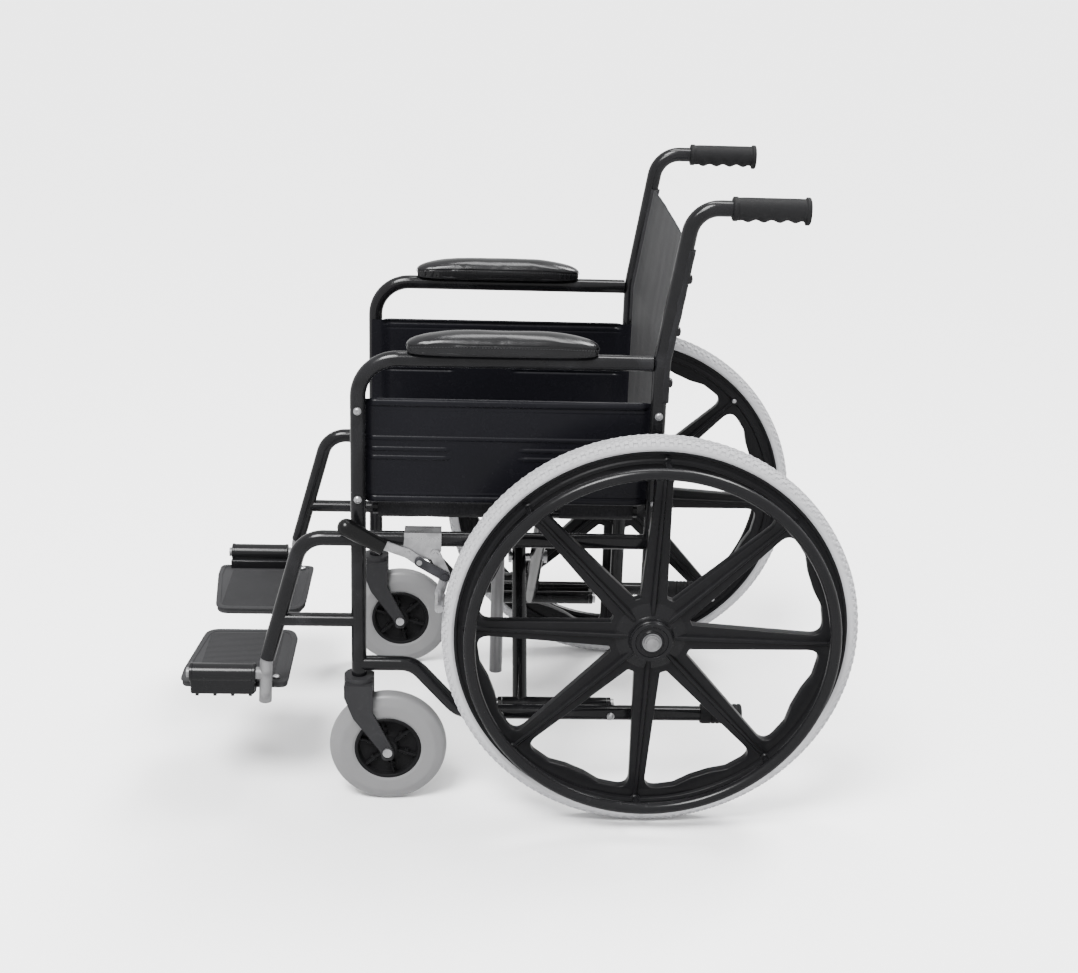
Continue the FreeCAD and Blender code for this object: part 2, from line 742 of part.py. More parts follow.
def castor_hub():
    """Castor hub: a rim and a recessed web with ribs, bored for the castor axle."""
    wide = rod("castor_hub_rim", "castor_hub_radius", "castor_hub_width",
               (CASTOR_X, f"{MID} - castor_hub_width / 2", "castor_radius"), "Y")
    recess = rod("castor_hub_recess", "castor_hub_radius - castor_hub_wall", "castor_hub_width",
                 (CASTOR_X, f"{MID} - castor_hub_width / 2 - 1", "castor_radius"), "Y")
    web = rod("castor_hub_web", "castor_hub_radius - castor_hub_wall + 1", "castor_web",
              (CASTOR_X, f"{MID} - castor_web / 2", "castor_radius"), "Y")
    boss = rod("castor_hub_boss", "castor_boss", "castor_width",
               (CASTOR_X, f"{MID} - castor_width / 2", "castor_radius"), "Y")
    hollow = cut("castor_hub_band", wide, bind(recess, Height="castor_hub_width + 2"))
    ribs = []
    for index in range(int(number("castor_rib_count"))):
        rib_sizes = ("castor_hub_radius - castor_hub_wall + 1", "castor_hub_width - castor_rib_step",
                     "castor_rib_width")
        rib = block(f"castor_rib_{index}", rib_sizes, (0, 0, 0))
        turn = Rotation(Vector(0, 1, 0), 360 / number("castor_rib_count") * index)
        low = turn.multVec(Vector(0, 0, -number("castor_rib_width") / 2))
        place(rib, (f"{CASTOR_X} + {low.x}", f"{MID} - (castor_hub_width - castor_rib_step) / 2",
                    f"castor_radius + {low.z}"), turn)
        ribs.append(rib)
    bore_hole = rod("castor_hub_bore", "castor_axle_radius + running_gap", "2 * castor_width",
                    (CASTOR_X, f"{MID} - castor_width", "castor_radius"), "Y")
    keep_pair(cut("castor_hub", fuse("castor_hub_body", hollow, web, boss, *ribs), bore_hole), "castor_hub")


def castor_fork():
    """Castor fork: a round cap under the post and two legs that sweep back to the axle."""
    cap = rod("fork_cap", "fork_cap_radius", "fork_cap_height",
              ("front_post_ahead", MID, f"{CAP_TOP} - fork_cap_height"))
    top = number(CAP_TOP)
    cap_foot = top - number("fork_cap_height")
    stem_x = number("front_post_ahead")
    axle_x = number(CASTOR_X)
    axle_z = number("castor_radius")
    half = number("fork_cap_radius")
    foot = number("fork_leg") / 2
    shoulder = top - number("fork_shoulder")
    front_knee = cap_foot - number("fork_front_drop")
    rear_knee = cap_foot - number("fork_rear_drop")
    side = [
        (stem_x + half - 1, shoulder, 0), (stem_x + half - 1, cap_foot,
                                           0), (stem_x + number("fork_shoulder"), front_knee, 0),
        (axle_x + foot, axle_z, 0), (axle_x + foot - 2, axle_z - foot - 4, 0), (axle_x - foot + 2,
                                                                                axle_z - foot - 4, 0),
        (axle_x - foot, axle_z, 0), (stem_x - half + 1, rear_knee, 0), (stem_x - half + 1, shoulder, 0),
    ]
    radii = [0, 12, 14, 20, 6, 6, 20, 14, 0]
    wide = "(castor_width + 2 * fork_gap + 2 * fork_wall)"
    solid = slab("fork_side", outline(side, radii), wide, (0, f"{MID} + {wide} / 2", 0), UPRIGHT)
    gap = block("fork_slot", ("4 * fork_cap_radius + castor_trail", "castor_width + 2 * fork_gap",
                              f"{CAP_TOP} - fork_cap_height"),
                (f"{CASTOR_X} - 2 * fork_cap_radius", f"{MID} - castor_width / 2 - fork_gap", 0))
    legs = cut("fork_legs", solid, gap)
    body = fuse("fork_body", cap, legs)
    stem_hole = rod("fork_stem_hole", f"{BORE} - running_gap", "fork_cap_height",
                    ("front_post_ahead", MID, f"{CAP_TOP} - fork_cap_height + fork_floor"))
    axle_hole = rod("fork_axle_hole", "castor_axle_radius", "4 * castor_width",
                    (CASTOR_X, f"{MID} - 2 * castor_width", "castor_radius"), "Y")
    keep_pair(cut("castor_fork", body, fuse("fork_cuts", stem_hole, axle_hole)), "castor_fork")


def castor_bolts():
    """Castor stem inside the front post, and the bolt that carries the castor wheel."""
    stem = rod("castor_stem", f"{BORE} - running_gap", "stem_length + fork_cap_height - fork_floor",
               ("front_post_ahead", MID, f"{CAP_TOP} - fork_cap_height + fork_floor"))
    outside = "(castor_width / 2 + fork_gap + fork_wall)"
    shank = rod("castor_axle", "castor_axle_radius", f"2 * {outside}",
                (CASTOR_X, f"{MID} - {outside}", "castor_radius"), "Y")
    head = rod("castor_axle_head", "castor_axle_radius + bolt_head_step", "castor_axle_radius",
               (CASTOR_X, f"{MID} + {outside}", "castor_radius"), "Y")
    nut = rod("castor_axle_nut", "castor_axle_radius + bolt_head_step", "castor_axle_radius",
              (CASTOR_X, f"{MID} - {outside} - castor_axle_radius", "castor_radius"), "Y")
    keep_pair(group("castor_bolts", stem, fuse("castor_axle_whole", shank, head, nut)), "castor_bolts")


# ---------------------------------------------------------------- footrest slide and plate
def foot_tube_path():
    """Points of the sliding tube: in line with the hanger inside it, then steeper below its mouth."""
    top = number("hanger_end + foot_tube_inside")
    kink = number("foot_tube_kink")
    return [(number("foot_tube_end_ahead"), number("foot_tube_end")), (hanger_line(kink), kink),
            (hanger_line(top), top)]


def footrest_tube():
    """Sliding inner tube with the fore-and-aft pin that the footplate turns on."""
    path = foot_tube_path()
    bend = [number("foot_tube_bend")]
    outer = bent_bar("foot_tube_outer", path, bend, f"{BORE} - running_gap")
    inner = bent_bar("foot_tube_hole", path, bend, f"{BORE} - 1.5")
    (low_x, low_z), (kink_x, kink_z) = path[:2]
    pin_z = number("foot_pin_height")
    pin_start = low_x + (kink_x - low_x) * (pin_z - low_z) / (kink_z - low_z)
    pin = rod("foot_pin", "foot_pin_radius", f"barrel_end - {pin_start} + 5",
              (pin_start, MID, "foot_pin_height"), "X")
    head = rod("foot_pin_head", "foot_pin_radius + 2.5", 4, ("barrel_end + 1", MID, "foot_pin_height"), "X")
    collar = rod("foot_pin_collar", "foot_pin_radius + 4", f"barrel_start - clearance - {pin_start}",
                 (pin_start, MID, "foot_pin_height"), "X")
    body = fuse("foot_tube_body", outer, pin, head, collar)
    keep_pair(cut("footrest_tube", body, inner), "footrest_tube")


def footplate():
    """Moulded footplate with its hinge barrel along the outer edge."""
    front = number("foot_reach")
    rear = number("plate_rear")
    across = number("half_spacing")
    outer = across - number("plate_edge_gap")
    inner = across - number("plate_reach")
    corner = number("plate_corner")
    plan = [(rear, outer, 0), (rear - 3, inner + 30, 0), (rear + 8, inner, 0), (front - 15, inner, 0),
            (front, outer - 40, 0), (front, outer, 0)]
    radii = [corner / 2, corner, corner, corner, corner * 2, corner / 2]
    deck = slab("plate_deck", outline(plan, radii), "plate_thickness",
                (0, 0, "plate_top - plate_thickness"), Rotation())
    barrel = rod("plate_barrel", "barrel_radius", "barrel_end - barrel_start",
                 ("barrel_start", MID, "foot_pin_height"), "X")
    skirt = block("plate_skirt", ("barrel_end - barrel_start", "barrel_radius + plate_edge_gap",
                                  "foot_pin_height - plate_top + plate_thickness"),
                  ("barrel_start", f"{MID} - plate_edge_gap - 12", "plate_top - plate_thickness"))
    hole = rod("plate_barrel_bore", "foot_pin_radius + running_gap", "barrel_end - barrel_start + 2",
               ("barrel_start - 1", MID, "foot_pin_height"), "X")
    keep_pair(cut("footplate", fuse("plate_body", deck, barrel, skirt), hole), "footplate")


# ---------------------------------------------------------------- wheel lock
SHOE_RADIUS = "(wheel_radius + lock_bar_radius + clearance)"
SHOE_RISE = "(upper_rail_height - lock_drop - wheel_radius)"
LOCK_START = f"(sqrt({SHOE_RADIUS}^2 - {SHOE_RISE}^2) - lock_behind_shoe)"


def lock_point(ahead, height):
    """A place on the wheel lock: ahead of its clamp's rear end, and above the upper rail."""
    return number(LOCK_START) + ahead, number("upper_rail_height") + height


LOCK_PIVOTS = {
    "lever": (48.0, -16.0),
    "link": (31.0, -28.0),
    "arm": (8.0, -18.0),
    "toe": (-6.0, -50.0),
    "shoe": (SIZES["lock_behind_shoe"], -SIZES["lock_drop"]),
    "neck": (82.0, -4.0),
    "grip": (134.0, 26.0),
}


def strip(name, start, end, half_width, layer, thickness="lock_plate"):
    """A flat bar with round ends between two places of the wheel lock, in one layer."""
    (x, z), (to_x, to_z) = start, end
    along = Vector(to_x - x, to_z - z, 0)
    side = Vector(-along.y, along.x, 0).normalize() * half_width
    first, last = Vector(x, z, 0), Vector(to_x, to_z, 0)
    out = Vector(along).normalize() * half_width
    edges = [
        Part.LineSegment(first + side, last + side),
        Part.Arc(last + side, last + out, last - side),
        Part.LineSegment(last - side, first - side),
        Part.Arc(first - side, first - out, first + side),
    ]
    return slab(name, edges, thickness, (0, f"{layer} + {thickness}", 0), UPRIGHT)


LOCK_FACE = f"({MID} + tube_radius + 1)"
LAYERS = [f"({LOCK_FACE} + {index} * (lock_plate + lock_gap))" for index in range(3)]


def lock_bracket():
    """Clamp on the upper rail and the plate that carries the lever and the shoe arm."""
    band = block("clamp_block", ("lock_clamp_length", "2 * (tube_radius + lock_clamp_wall)",
                                 "2 * (tube_radius + lock_clamp_wall)"),
                 (LOCK_START, f"{MID} - tube_radius - lock_clamp_wall",
                  "upper_rail_height - tube_radius - lock_clamp_wall"))
    x, z = lock_point(0, 0)
    lever = lock_point(*LOCK_PIVOTS["lever"])
    arm = lock_point(*LOCK_PIVOTS["arm"])
    length = number("lock_clamp_length")
    points = [(x, z + 6, 0), (x + length, z + 6, 0), (lever[0] + 7, lever[1] - 6, 0),
              (lever[0] - 8, lever[1] - 8, 0),
              (arm[0] + 8, arm[1] - 8, 0), (arm[0] - 7, arm[1] - 6, 0)]
    plate = slab("lock_plate_sheet", outline(points, [2, 2, 5, 4, 4, 5]), "lock_plate",
                 (0, f"{LAYERS[0]} + lock_plate", 0), UPRIGHT)
    hole = rod("clamp_bore", "tube_radius", "lock_clamp_length + 2",
               (f"{LOCK_START} - 1", MID, "upper_rail_height"), "X")
    bolts = []
    for name in ("lever", "arm"):
        ahead, height = lock_point(*LOCK_PIVOTS[name])
        bolts.append(rod(f"lock_bolt_{name}", "lock_bolt",
                         f"{LAYERS[1]} + lock_plate + lock_bolt_stand - {LAYERS[0]}",
                         (ahead, LAYERS[0], height), "Y"))
    body = fuse("lock_bracket_body", cut("clamp_band", band, hole), plate, *bolts)
    keep_pair(body, "lock_bracket")


def pivot_hole(name, point, layer):
    """A running hole through one layer of the wheel lock."""
    ahead, height = point
    return rod(name, "lock_bolt + running_gap", "lock_plate + 2", (ahead, f"{layer} - 1", height), "Y")


def lock_lever():
    """Hand lever: turns on the bracket and carries the link at its short end."""
    pivot = lock_point(*LOCK_PIVOTS["lever"])
    link = lock_point(*LOCK_PIVOTS["link"])
    neck = lock_point(*LOCK_PIVOTS["neck"])
    grip = lock_point(*LOCK_PIVOTS["grip"])
    long_arm = strip("lever_long", pivot, neck, number("lock_arm_width"), LAYERS[1])
    short_arm = strip("lever_short", pivot, link, number("lock_arm_width"), LAYERS[1])
    tang = strip("lever_tang", neck, grip, number("lock_tang_width"), LAYERS[1])
    ahead, height = link
    pin = rod("lever_link_pin", "lock_bolt", "lock_gap + lock_plate + lock_bolt_stand",
              (ahead, f"{LAYERS[1]} + lock_plate", height), "Y")
    body = fuse("lever_body", long_arm, short_arm, tang, pin)
    keep_pair(cut("lock_lever", body, pivot_hole("lever_hole", pivot, LAYERS[1])), "lock_lever")


def lock_grip():
    """Bulb grip pushed over the lever's tang, clear of the front post."""
    pivot = lock_point(*LOCK_PIVOTS["lever"])
    neck = lock_point(*LOCK_PIVOTS["neck"])
    grip = lock_point(*LOCK_PIVOTS["grip"])
    middle = f"({MID} + tube_radius + screw_head_height + clearance + lock_grip_radius)"
    along = Vector(grip[0] - neck[0], 0, grip[1] - neck[1])
    direction = Rotation(Vector(0, 0, 1), along)
    body = cone("grip_cone", "lock_grip_radius - 2", "lock_grip_radius", along.Length,
                (neck[0], middle, neck[1]), direction)
    end = doc.addObject("Part::Sphere", "grip_end")
    bind(end, Radius="lock_grip_radius")
    place(end, (grip[0], middle, grip[1]))
    slot = "lock_plate + lock_grip_radius / 2"
    layer = f"({LAYERS[1]} - lock_grip_radius / 2)"
    space = fuse("grip_space", strip("grip_tang_space", neck, grip, number("lock_tang_width"), layer, slot),
                 strip("grip_arm_space", pivot, neck, number("lock_arm_width"), layer, slot))
    keep_pair(cut("lock_grip", fuse("lock_grip_body", body, end), space), "lock_grip")


def lock_link():
    """Link from the lever's short end to the shoe arm's toe."""
    start = lock_point(*LOCK_PIVOTS["link"])
    end = lock_point(*LOCK_PIVOTS["toe"])
    bar = strip("link_bar", start, end, number("lock_arm_width"), LAYERS[2])
    ahead, height = end
    cap = rod("link_cap", "lock_bolt + 1", 3, (ahead, f"{LAYERS[2]} + lock_plate", height), "Y")
    keep_pair(cut("lock_link", fuse("link_body", bar, cap), pivot_hole("link_hole", start, LAYERS[2])),
              "lock_link")


def lock_shoe():
    """Shoe arm that turns on the bracket, with the bar that presses on the tyre."""
    pivot = lock_point(*LOCK_PIVOTS["arm"])
    toe = lock_point(*LOCK_PIVOTS["toe"])
    shoe = lock_point(*LOCK_PIVOTS["shoe"])
    upper = strip("shoe_upper", pivot, toe, number("lock_toe_width"), LAYERS[1])
    lower = strip("shoe_lower", toe, shoe, number("lock_arm_width"), LAYERS[1])
    ahead, height = shoe
    bar = rod("shoe_bar", "lock_bar_radius", f"{WHEEL_MID} + tyre_width / 2 - {LAYERS[1]}",
              (ahead, LAYERS[1], height), "Y")
    body = fuse("shoe_body", upper, lower, bar)
    keep_pair(cut("lock_shoe", body, pivot_hole("shoe_hole", pivot, LAYERS[1])), "lock_shoe")


# ---------------------------------------------------------------- brace, seat rails and slings
PIVOT_Y = f"({MID} - pivot_inset)"


def brace_leg(name, ahead, side):
    """One leg of the cross brace: foot tube on one lower pivot, sleeve on the far seat rail."""
    half = number(PIVOT_Y)
    low, high = number("pivot_height"), number("seat_height")
    along = Vector(0, -2 * half * side, high - low)
    direction = Rotation(Vector(0, 0, 1), along)
    bar = rod(f"{name}_bar", "tube_radius", along.Length,
              (ahead, f"{side} * {PIVOT_Y}", "pivot_height"), direction)
    foot = rod(f"{name}_foot", "tube_radius", "foot_tube_front - foot_tube_start",
               ("foot_tube_start", f"{side} * {PIVOT_Y}", "pivot_height"), "X")
    sleeve = rod(f"{name}_sleeve", "tube_radius + sleeve_wall", "sleeve_length",
                 (f"{ahead} - sleeve_length / 2", f"-{side} * {PIVOT_Y}", "seat_height"), "X")
    bar_bore = rod(f"{name}_bar_bore", BORE, along.Length,
                   (ahead, f"{side} * {PIVOT_Y}", "pivot_height"), direction)
    foot_bore = rod(f"{name}_foot_bore", "pivot_bolt + running_gap",
                    "foot_tube_front - foot_tube_start + 2",
                    ("foot_tube_start - 1", f"{side} * {PIVOT_Y}", "pivot_height"), "X")
    rail_bore = rod(f"{name}_rail_bore", "tube_radius + running_gap", "sleeve_length + 2",
                    (f"{ahead} - sleeve_length / 2 - 1", f"-{side} * {PIVOT_Y}", "seat_height"), "X")
    bolt_bore = rod(f"{name}_bolt_bore", "pivot_bolt + running_gap", "4 * tube_radius",
                    (f"{ahead} - 2 * tube_radius", 0, "(pivot_height + seat_height) / 2"), "X")
    body = fuse(f"{name}_body", bar, foot, sleeve)
    keep(cut(name, body, fuse(f"{name}_cuts", bar_bore, foot_bore, rail_bore, bolt_bore)), name)


def brace_bolt():
    """Bolt through the middle of both brace legs, with its head and nut."""
    middle = "(pivot_height + seat_height) / 2"
    shank = rod("brace_bolt_shank", "pivot_bolt", "leg_front - leg_rear + 2 * tube_radius + 12",
                ("leg_rear - tube_radius - 6", 0, middle), "X")
    head = rod("brace_bolt_head", "pivot_bolt + bolt_head_step + 1", "bolt_head_height",
               ("leg_front + tube_radius + clearance", 0, middle), "X")
    nut = rod("brace_bolt_nut", "pivot_bolt + bolt_head_step + 1", "bolt_head_height",
              ("leg_rear - tube_radius - clearance - bolt_head_height", 0, middle), "X")
    keep(fuse("brace_bolt", shank, head, nut), "brace_bolt")


def seat_rail():
    """Seat rail with the guide rod that slides in the upper rail's sleeve."""
    outer = rod("seat_rail_outer", "tube_radius", "seat_rail_length",
                ("seat_rail_start", PIVOT_Y, "seat_height"), "X")
    inner = rod("seat_rail_inner", BORE, "seat_rail_length + 2",
                ("seat_rail_start - 1", PIVOT_Y, "seat_height"), "X")
    guide = rod("guide_rod_outer", "guide_radius", "seat_height - guide_end",
                ("guide_ahead", PIVOT_Y, "guide_end"))
    guide_hole = rod("guide_rod_inner", "guide_radius - tube_wall", "seat_height - guide_end",
                     ("guide_ahead", PIVOT_Y, "guide_end - tube_radius"))
    keep_pair(cut("seat_rail", fuse("seat_rail_body", outer, guide),
                  fuse("seat_rail_cuts", inner, guide_hole)), "seat_rail")


def seat_sling():
    """Seat sling laid over the two seat rails, as one flat closed sheet."""
    keep(group("seat_sling", block("seat_sheet", ("seat_rail_length - 2 * sling_end - 2",
                                                  f"2 * {PIVOT_Y} + 2 * tube_radius", "sling_thickness"),
                                  ("seat_rail_start + sling_end", f"-{PIVOT_Y} - tube_radius",
                                   "seat_height + tube_radius + sleeve_wall + clearance"))), "seat_sling")


def back_sling():
    """Back sling between the rear posts, upright below and raked above."""
    knee = number("rake_height")
    top = number("back_sling_top")
    lean = (top - knee) * math.tan(math.radians(number("rake_angle")))
    thick = number("sling_thickness")
    low = number("seat_height + back_sling_rise")
    points = [(-thick / 2, low, 0), (thick / 2, low, 0), (thick / 2, knee, 0), (thick / 2 - lean, top, 0),
              (-thick / 2 - lean, top, 0), (-thick / 2, knee, 0)]
    wide = f"(2 * {MID} - 2 * tube_radius - 4 * guard_edge_radius - 2 * clearance)"
    keep(group("back_sling", slab("back_sheet", outline(points, [0] * 6), wide, (0, f"{wide} / 2", 0),
                                  UPRIGHT)), "back_sling")


def build():
    """Make every piece."""
    for make in (front_tube, rear_tube, upper_rail, lower_rail, footrest_hanger, push_grip, tip_cap,
                 skirt_guard, arm_pad, frame_fasteners, rear_tyre, rear_wheel, hub_bearings, rear_axle,
                 handrim, castor_tyre, castor_hub, castor_fork, castor_bolts, footrest_tube, footplate,
                 lock_bracket, lock_lever, lock_grip, lock_link, lock_shoe):
        make()
    brace_leg("brace_leg_a", "leg_front", 1)
    brace_leg("brace_leg_b", "leg_rear", -1)
    for make in (brace_bolt, seat_rail, seat_sling, back_sling):
        make()
    doc.recompute()


def write_steps():
    """Check every object, then write one STEP file for each piece."""
    for item in doc.Objects:
        if "Invalid" in item.State or "Error" in item.State:
            raise RuntimeError(f"{item.Name} did not recompute: {item.State}")
    for piece in pieces:
        if piece.Shape.isNull() or not piece.Shape.isValid() or not piece.Shape.Solids:
            raise RuntimeError(f"{piece.Label} has no valid solid")
    os.makedirs("parts", exist_ok=True)
    for piece in pieces:
        piece.Shape.exportStep(f"parts/{piece.Label}.step")
        print(piece.Label, len(piece.Shape.Solids), round(piece.Shape.Volume / 1000, 1))


build()
write_steps()
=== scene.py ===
"""Folding wheelchair: the visible pieces, their finishes and the stage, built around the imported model."""
import math

import bmesh
import bpy
from mathutils import Matrix, Vector, noise


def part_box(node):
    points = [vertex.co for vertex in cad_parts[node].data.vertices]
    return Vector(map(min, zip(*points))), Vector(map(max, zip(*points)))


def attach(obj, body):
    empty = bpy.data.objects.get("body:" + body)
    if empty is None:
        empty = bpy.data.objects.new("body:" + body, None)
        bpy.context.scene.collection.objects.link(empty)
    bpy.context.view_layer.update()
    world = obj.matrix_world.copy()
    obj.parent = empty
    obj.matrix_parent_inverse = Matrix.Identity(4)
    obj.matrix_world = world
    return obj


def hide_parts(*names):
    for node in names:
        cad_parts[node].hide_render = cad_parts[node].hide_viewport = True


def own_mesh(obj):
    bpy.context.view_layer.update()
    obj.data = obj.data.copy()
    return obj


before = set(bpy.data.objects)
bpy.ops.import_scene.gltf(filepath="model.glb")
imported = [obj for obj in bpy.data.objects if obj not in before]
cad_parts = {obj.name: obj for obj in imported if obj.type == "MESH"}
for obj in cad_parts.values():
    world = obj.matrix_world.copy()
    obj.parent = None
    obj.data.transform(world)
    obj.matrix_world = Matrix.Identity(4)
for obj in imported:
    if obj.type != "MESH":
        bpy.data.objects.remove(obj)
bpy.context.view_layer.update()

bl_info = {
    "name": "Folding wheelchair",
    "version": (1, 0, 0),
    "blender": (4, 5, 0),
    "location": "View3D > Sidebar > Wheelchair",
    "description": "Detailed wheels, pads, slings, guards and finishes for a folding wheelchair",
    "category": "Add Mesh",
}

BOXES = {node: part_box(node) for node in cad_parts}
SIDES = (("left", 1), ("right", -1))
MM = 0.001
HALF_SPACING = 235 * MM          # middle of the chair to the middle of a side frame
POST_BEND = 690 * MM             # where a back post starts to lean back
POST_RAKE = math.radians(9)


# ---------------------------------------------------------------- sizes and colours a user may change
def length(name, text, default):
    return bpy.props.FloatProperty(name=name, description=text, default=default, unit="LENGTH", precision=4)


def colour(name, text, default):
    return bpy.props.FloatVectorProperty(name=name, description=text, default=default, subtype="COLOR",
                                         size=3, min=0, max=1)


class WheelSizes(bpy.types.PropertyGroup):
    """Sizes of the wheels' details."""
    tread_count: bpy.props.IntProperty(name="Tread lugs", description="Lugs in one row around a rear tyre",
                                       default=150)
    tread_height: length("Tread height", "How far the lugs stand out of the tyre", 0.0013)
    spoke_count: bpy.props.IntProperty(name="Spokes", description="Spokes in a rear wheel", default=8)
    edge: length("Moulded edge", "Radius of the moulded edges", 0.0016)


class SoftSizes(bpy.types.PropertyGroup):
    """Sizes of the pads and slings."""
    pad_swell: length("Pad swell", "The most that the stuffing moves the arm pad's cover", 0.005)
    stitch_gap: length("Stitch spacing", "Distance between two stitches", 0.0042)
    sling_sag: length("Seat sag", "How far the middle of the seat hangs", 0.006)


class Colours(bpy.types.PropertyGroup):
    """Colours of the finishes."""
    paint: colour("Frame paint", "Gloss paint on the steel tubes", (0.0045, 0.0045, 0.005))
    plastic: colour("Wheel plastic", "Moulded rear wheels and hubs", (0.0055, 0.0055, 0.006))
    guard: colour("Guard plastic", "Skirt guards", (0.0045, 0.0045, 0.006))
    tyre: colour("Tyre", "Solid rear tyres", (0.31, 0.31, 0.32))
    castor: colour("Castor tyre", "Castor tyres", (0.12, 0.12, 0.122))
    fork: colour("Fork", "Castor forks", (0.017, 0.017, 0.018))
    grip: colour("Grip", "Push grips and rubber tips", (0.009, 0.009, 0.0095))
    vinyl: colour("Vinyl", "Arm pad covers", (0.006, 0.006, 0.0065))
    fabric: colour("Fabric", "Seat and back slings", (0.0105, 0.0105, 0.0115))
    plate: colour("Footplate", "Footplates", (0.022, 0.022, 0.023))


# ---------------------------------------------------------------- node graphs
class Field:
    """A node's output that takes plain arithmetic."""

    def __init__(self, graph, socket):
        self.graph = graph
        self.socket = socket

    def maths(self, operation, *values):
        return self.graph.node(self.graph.maths_kind, {"operation": operation}, dict(enumerate(values)))

    def __add__(self, other):
        return self.maths("ADD", self, other)

    def __radd__(self, other):
        return self.maths("ADD", other, self)

    def __sub__(self, other):
        return self.maths("SUBTRACT", self, other)

    def __rsub__(self, other):
        return self.maths("SUBTRACT", other, self)

    def __mul__(self, other):
        return self.maths("MULTIPLY", self, other)

    def __rmul__(self, other):
        return self.maths("MULTIPLY", other, self)

    def __truediv__(self, other):
        return self.maths("DIVIDE", self, other)

    def __gt__(self, other):
        return self.maths("GREATER_THAN", self, other)

    def __lt__(self, other):
        return self.maths("LESS_THAN", self, other)


class Graph:
    """A node tree that is written as expressions."""
    maths_kind = "ShaderNodeMath"

    def __init__(self, tree):
        self.tree = tree

    def node(self, kind, settings=None, inputs=None, output=0):
        made = self.tree.nodes.new(kind)
        for key, value in (settings or {}).items():
            if key == "stops":
                for stop, (at, shade) in zip((made.color_ramp.elements[0], made.color_ramp.elements[1]),
                                             value):
                    stop.position = at
                    stop.color = (*shade, 1) if hasattr(shade, "__len__") else (shade, shade, shade, 1)
            else:
                setattr(made, key, value)
        for key, value in (inputs or {}).items():
            if isinstance(value, Field):
                self.tree.links.new(value.socket, made.inputs[key])
            elif made.inputs[key].type == "RGBA":
                made.inputs[key].default_value = (*value, 1)
            else:
                made.inputs[key].default_value = value
        return Field(self, made.outputs[output]) if made.outputs else None

    def noise(self, place, scale, detail=3.0, **more):
        return self.node("ShaderNodeTexNoise", None, {"Vector": place, "Scale": scale, "Detail": detail,
                                                      **more})

    def noise_colour(self, place, scale):
        return self.node("ShaderNodeTexNoise", None, {"Vector": place, "Scale": scale, "Detail": 2.0},
                         "Color")

    def stretched(self, place, scale):
        return self.node("ShaderNodeVectorMath", {"operation": "MULTIPLY"}, {0: place, 1: scale})

    def blend(self, mask, low, high):
        return self.node("ShaderNodeMix", {"data_type": "RGBA"}, {0: mask, 6: low, 7: high}, 2)

    def ramp(self, value, low, high):
        return self.node("ShaderNodeMapRange", {"clamp": True},
                         {"Value": value, "From Min": low, "From Max": high})

    def bump(self, height, distance, strength=1.0):
        return self.node("ShaderNodeBump", None, {"Height": height, "Distance": distance,
                                                  "Strength": strength})

    def along(self, place, axis):
        return self.node("ShaderNodeSeparateXYZ", None, {0: place}, axis)


def shade(tone, factor):
    return tuple(min(1.0, channel * factor) for channel in tone)


def material(name, build, **constants):
    """A procedural finish. build takes the graph and Object coordinates and gives the inputs that vary."""
    made = bpy.data.materials.new(name)
    made.use_nodes = True
    made.node_tree.nodes.clear()
    graph = Graph(made.node_tree)
    place = graph.node("ShaderNodeTexCoord", output="Object")
    inputs = {key.replace("_", " ").title().replace("Ior", "IOR"): value for key, value in constants.items()}
    inputs.update(build(graph, place))
    shader = graph.node("ShaderNodeBsdfPrincipled", None, inputs)
    graph.node("ShaderNodeOutputMaterial", None, {"Surface": shader})
    return made


def grained(tone, roughness, grain, height, variety=0.35, cloud_scale=9.0, rough_spread=0.12, dust=0.0):
    """Moulded or painted surface: faint clouds in colour and gloss, and a fine grain."""
    def build(graph, place):
        cloud = graph.noise(place, cloud_scale, 5.0)
        fine = graph.noise(place, grain, 2.0)
        speck = graph.ramp(graph.noise(place, cloud_scale * 14, 2.0), 0.58, 0.72)
        base = graph.blend(cloud, shade(tone, 1 - variety), shade(tone, 1 + variety))
        if dust:
            base = graph.blend(speck * dust, base, shade(tone, 3.0))
        return {"Base Color": base, "Roughness": roughness + (cloud - 0.5) * rough_spread + speck * 0.05,
                "Normal": graph.bump(fine, height)}
    return build


def painted(tone, roughness=0.16):
    """Stoved gloss paint on steel tube, with orange peel and a few dull rubbed places."""
    def build(graph, place):
        peel = graph.noise(place, 420.0, 1.0)
        rub = graph.ramp(graph.noise(place, 21.0, 6.0), 0.52, 0.75)
        base = graph.blend(rub, tone, shade(tone, 1.9))
        return {"Base Color": base, "Roughness": roughness + rub * 0.14, "Normal": graph.bump(peel, 0.00006)}
    return build


def rail_paint(tone, steel, change_height):
    """Black paint above change_height and bare grey steel below it, for the seat rail and its guide rod."""
    def build(graph, place):
        peel = graph.noise(place, 420.0, 1.0)
        below = graph.along(place, 2) < change_height
        streak = graph.noise(graph.stretched(place, (90.0, 90.0, 4.0)), 1.0, 3.0)
        base = graph.blend(below, tone, graph.blend(streak, shade(steel, 0.8), shade(steel, 1.2)))
        return {"Base Color": base, "Roughness": 0.17 + below * 0.16 + streak * 0.06,
                "Metallic": below * 0.55, "Normal": graph.bump(peel, 0.00005)}
    return build


def plated(tone, roughness=0.3, grain=(500.0, 500.0, 60.0)):
    """Zinc plated or bare steel, with streaks, stains and small dents."""
    def build(graph, place):
        streak = graph.noise(graph.stretched(place, grain), 1.0, 3.0)
        stain = graph.ramp(graph.noise(place, 55.0, 5.0), 0.42, 0.7)
        dent = graph.noise(place, 160.0, 2.0)
        base = graph.blend(stain, shade(tone, 1.05), shade(tone, 0.62))
        return {"Base Color": base, "Roughness": roughness + streak * 0.12 + stain * 0.14,
                "Normal": graph.bump(dent + streak * 0.3, 0.00018)}
    return build


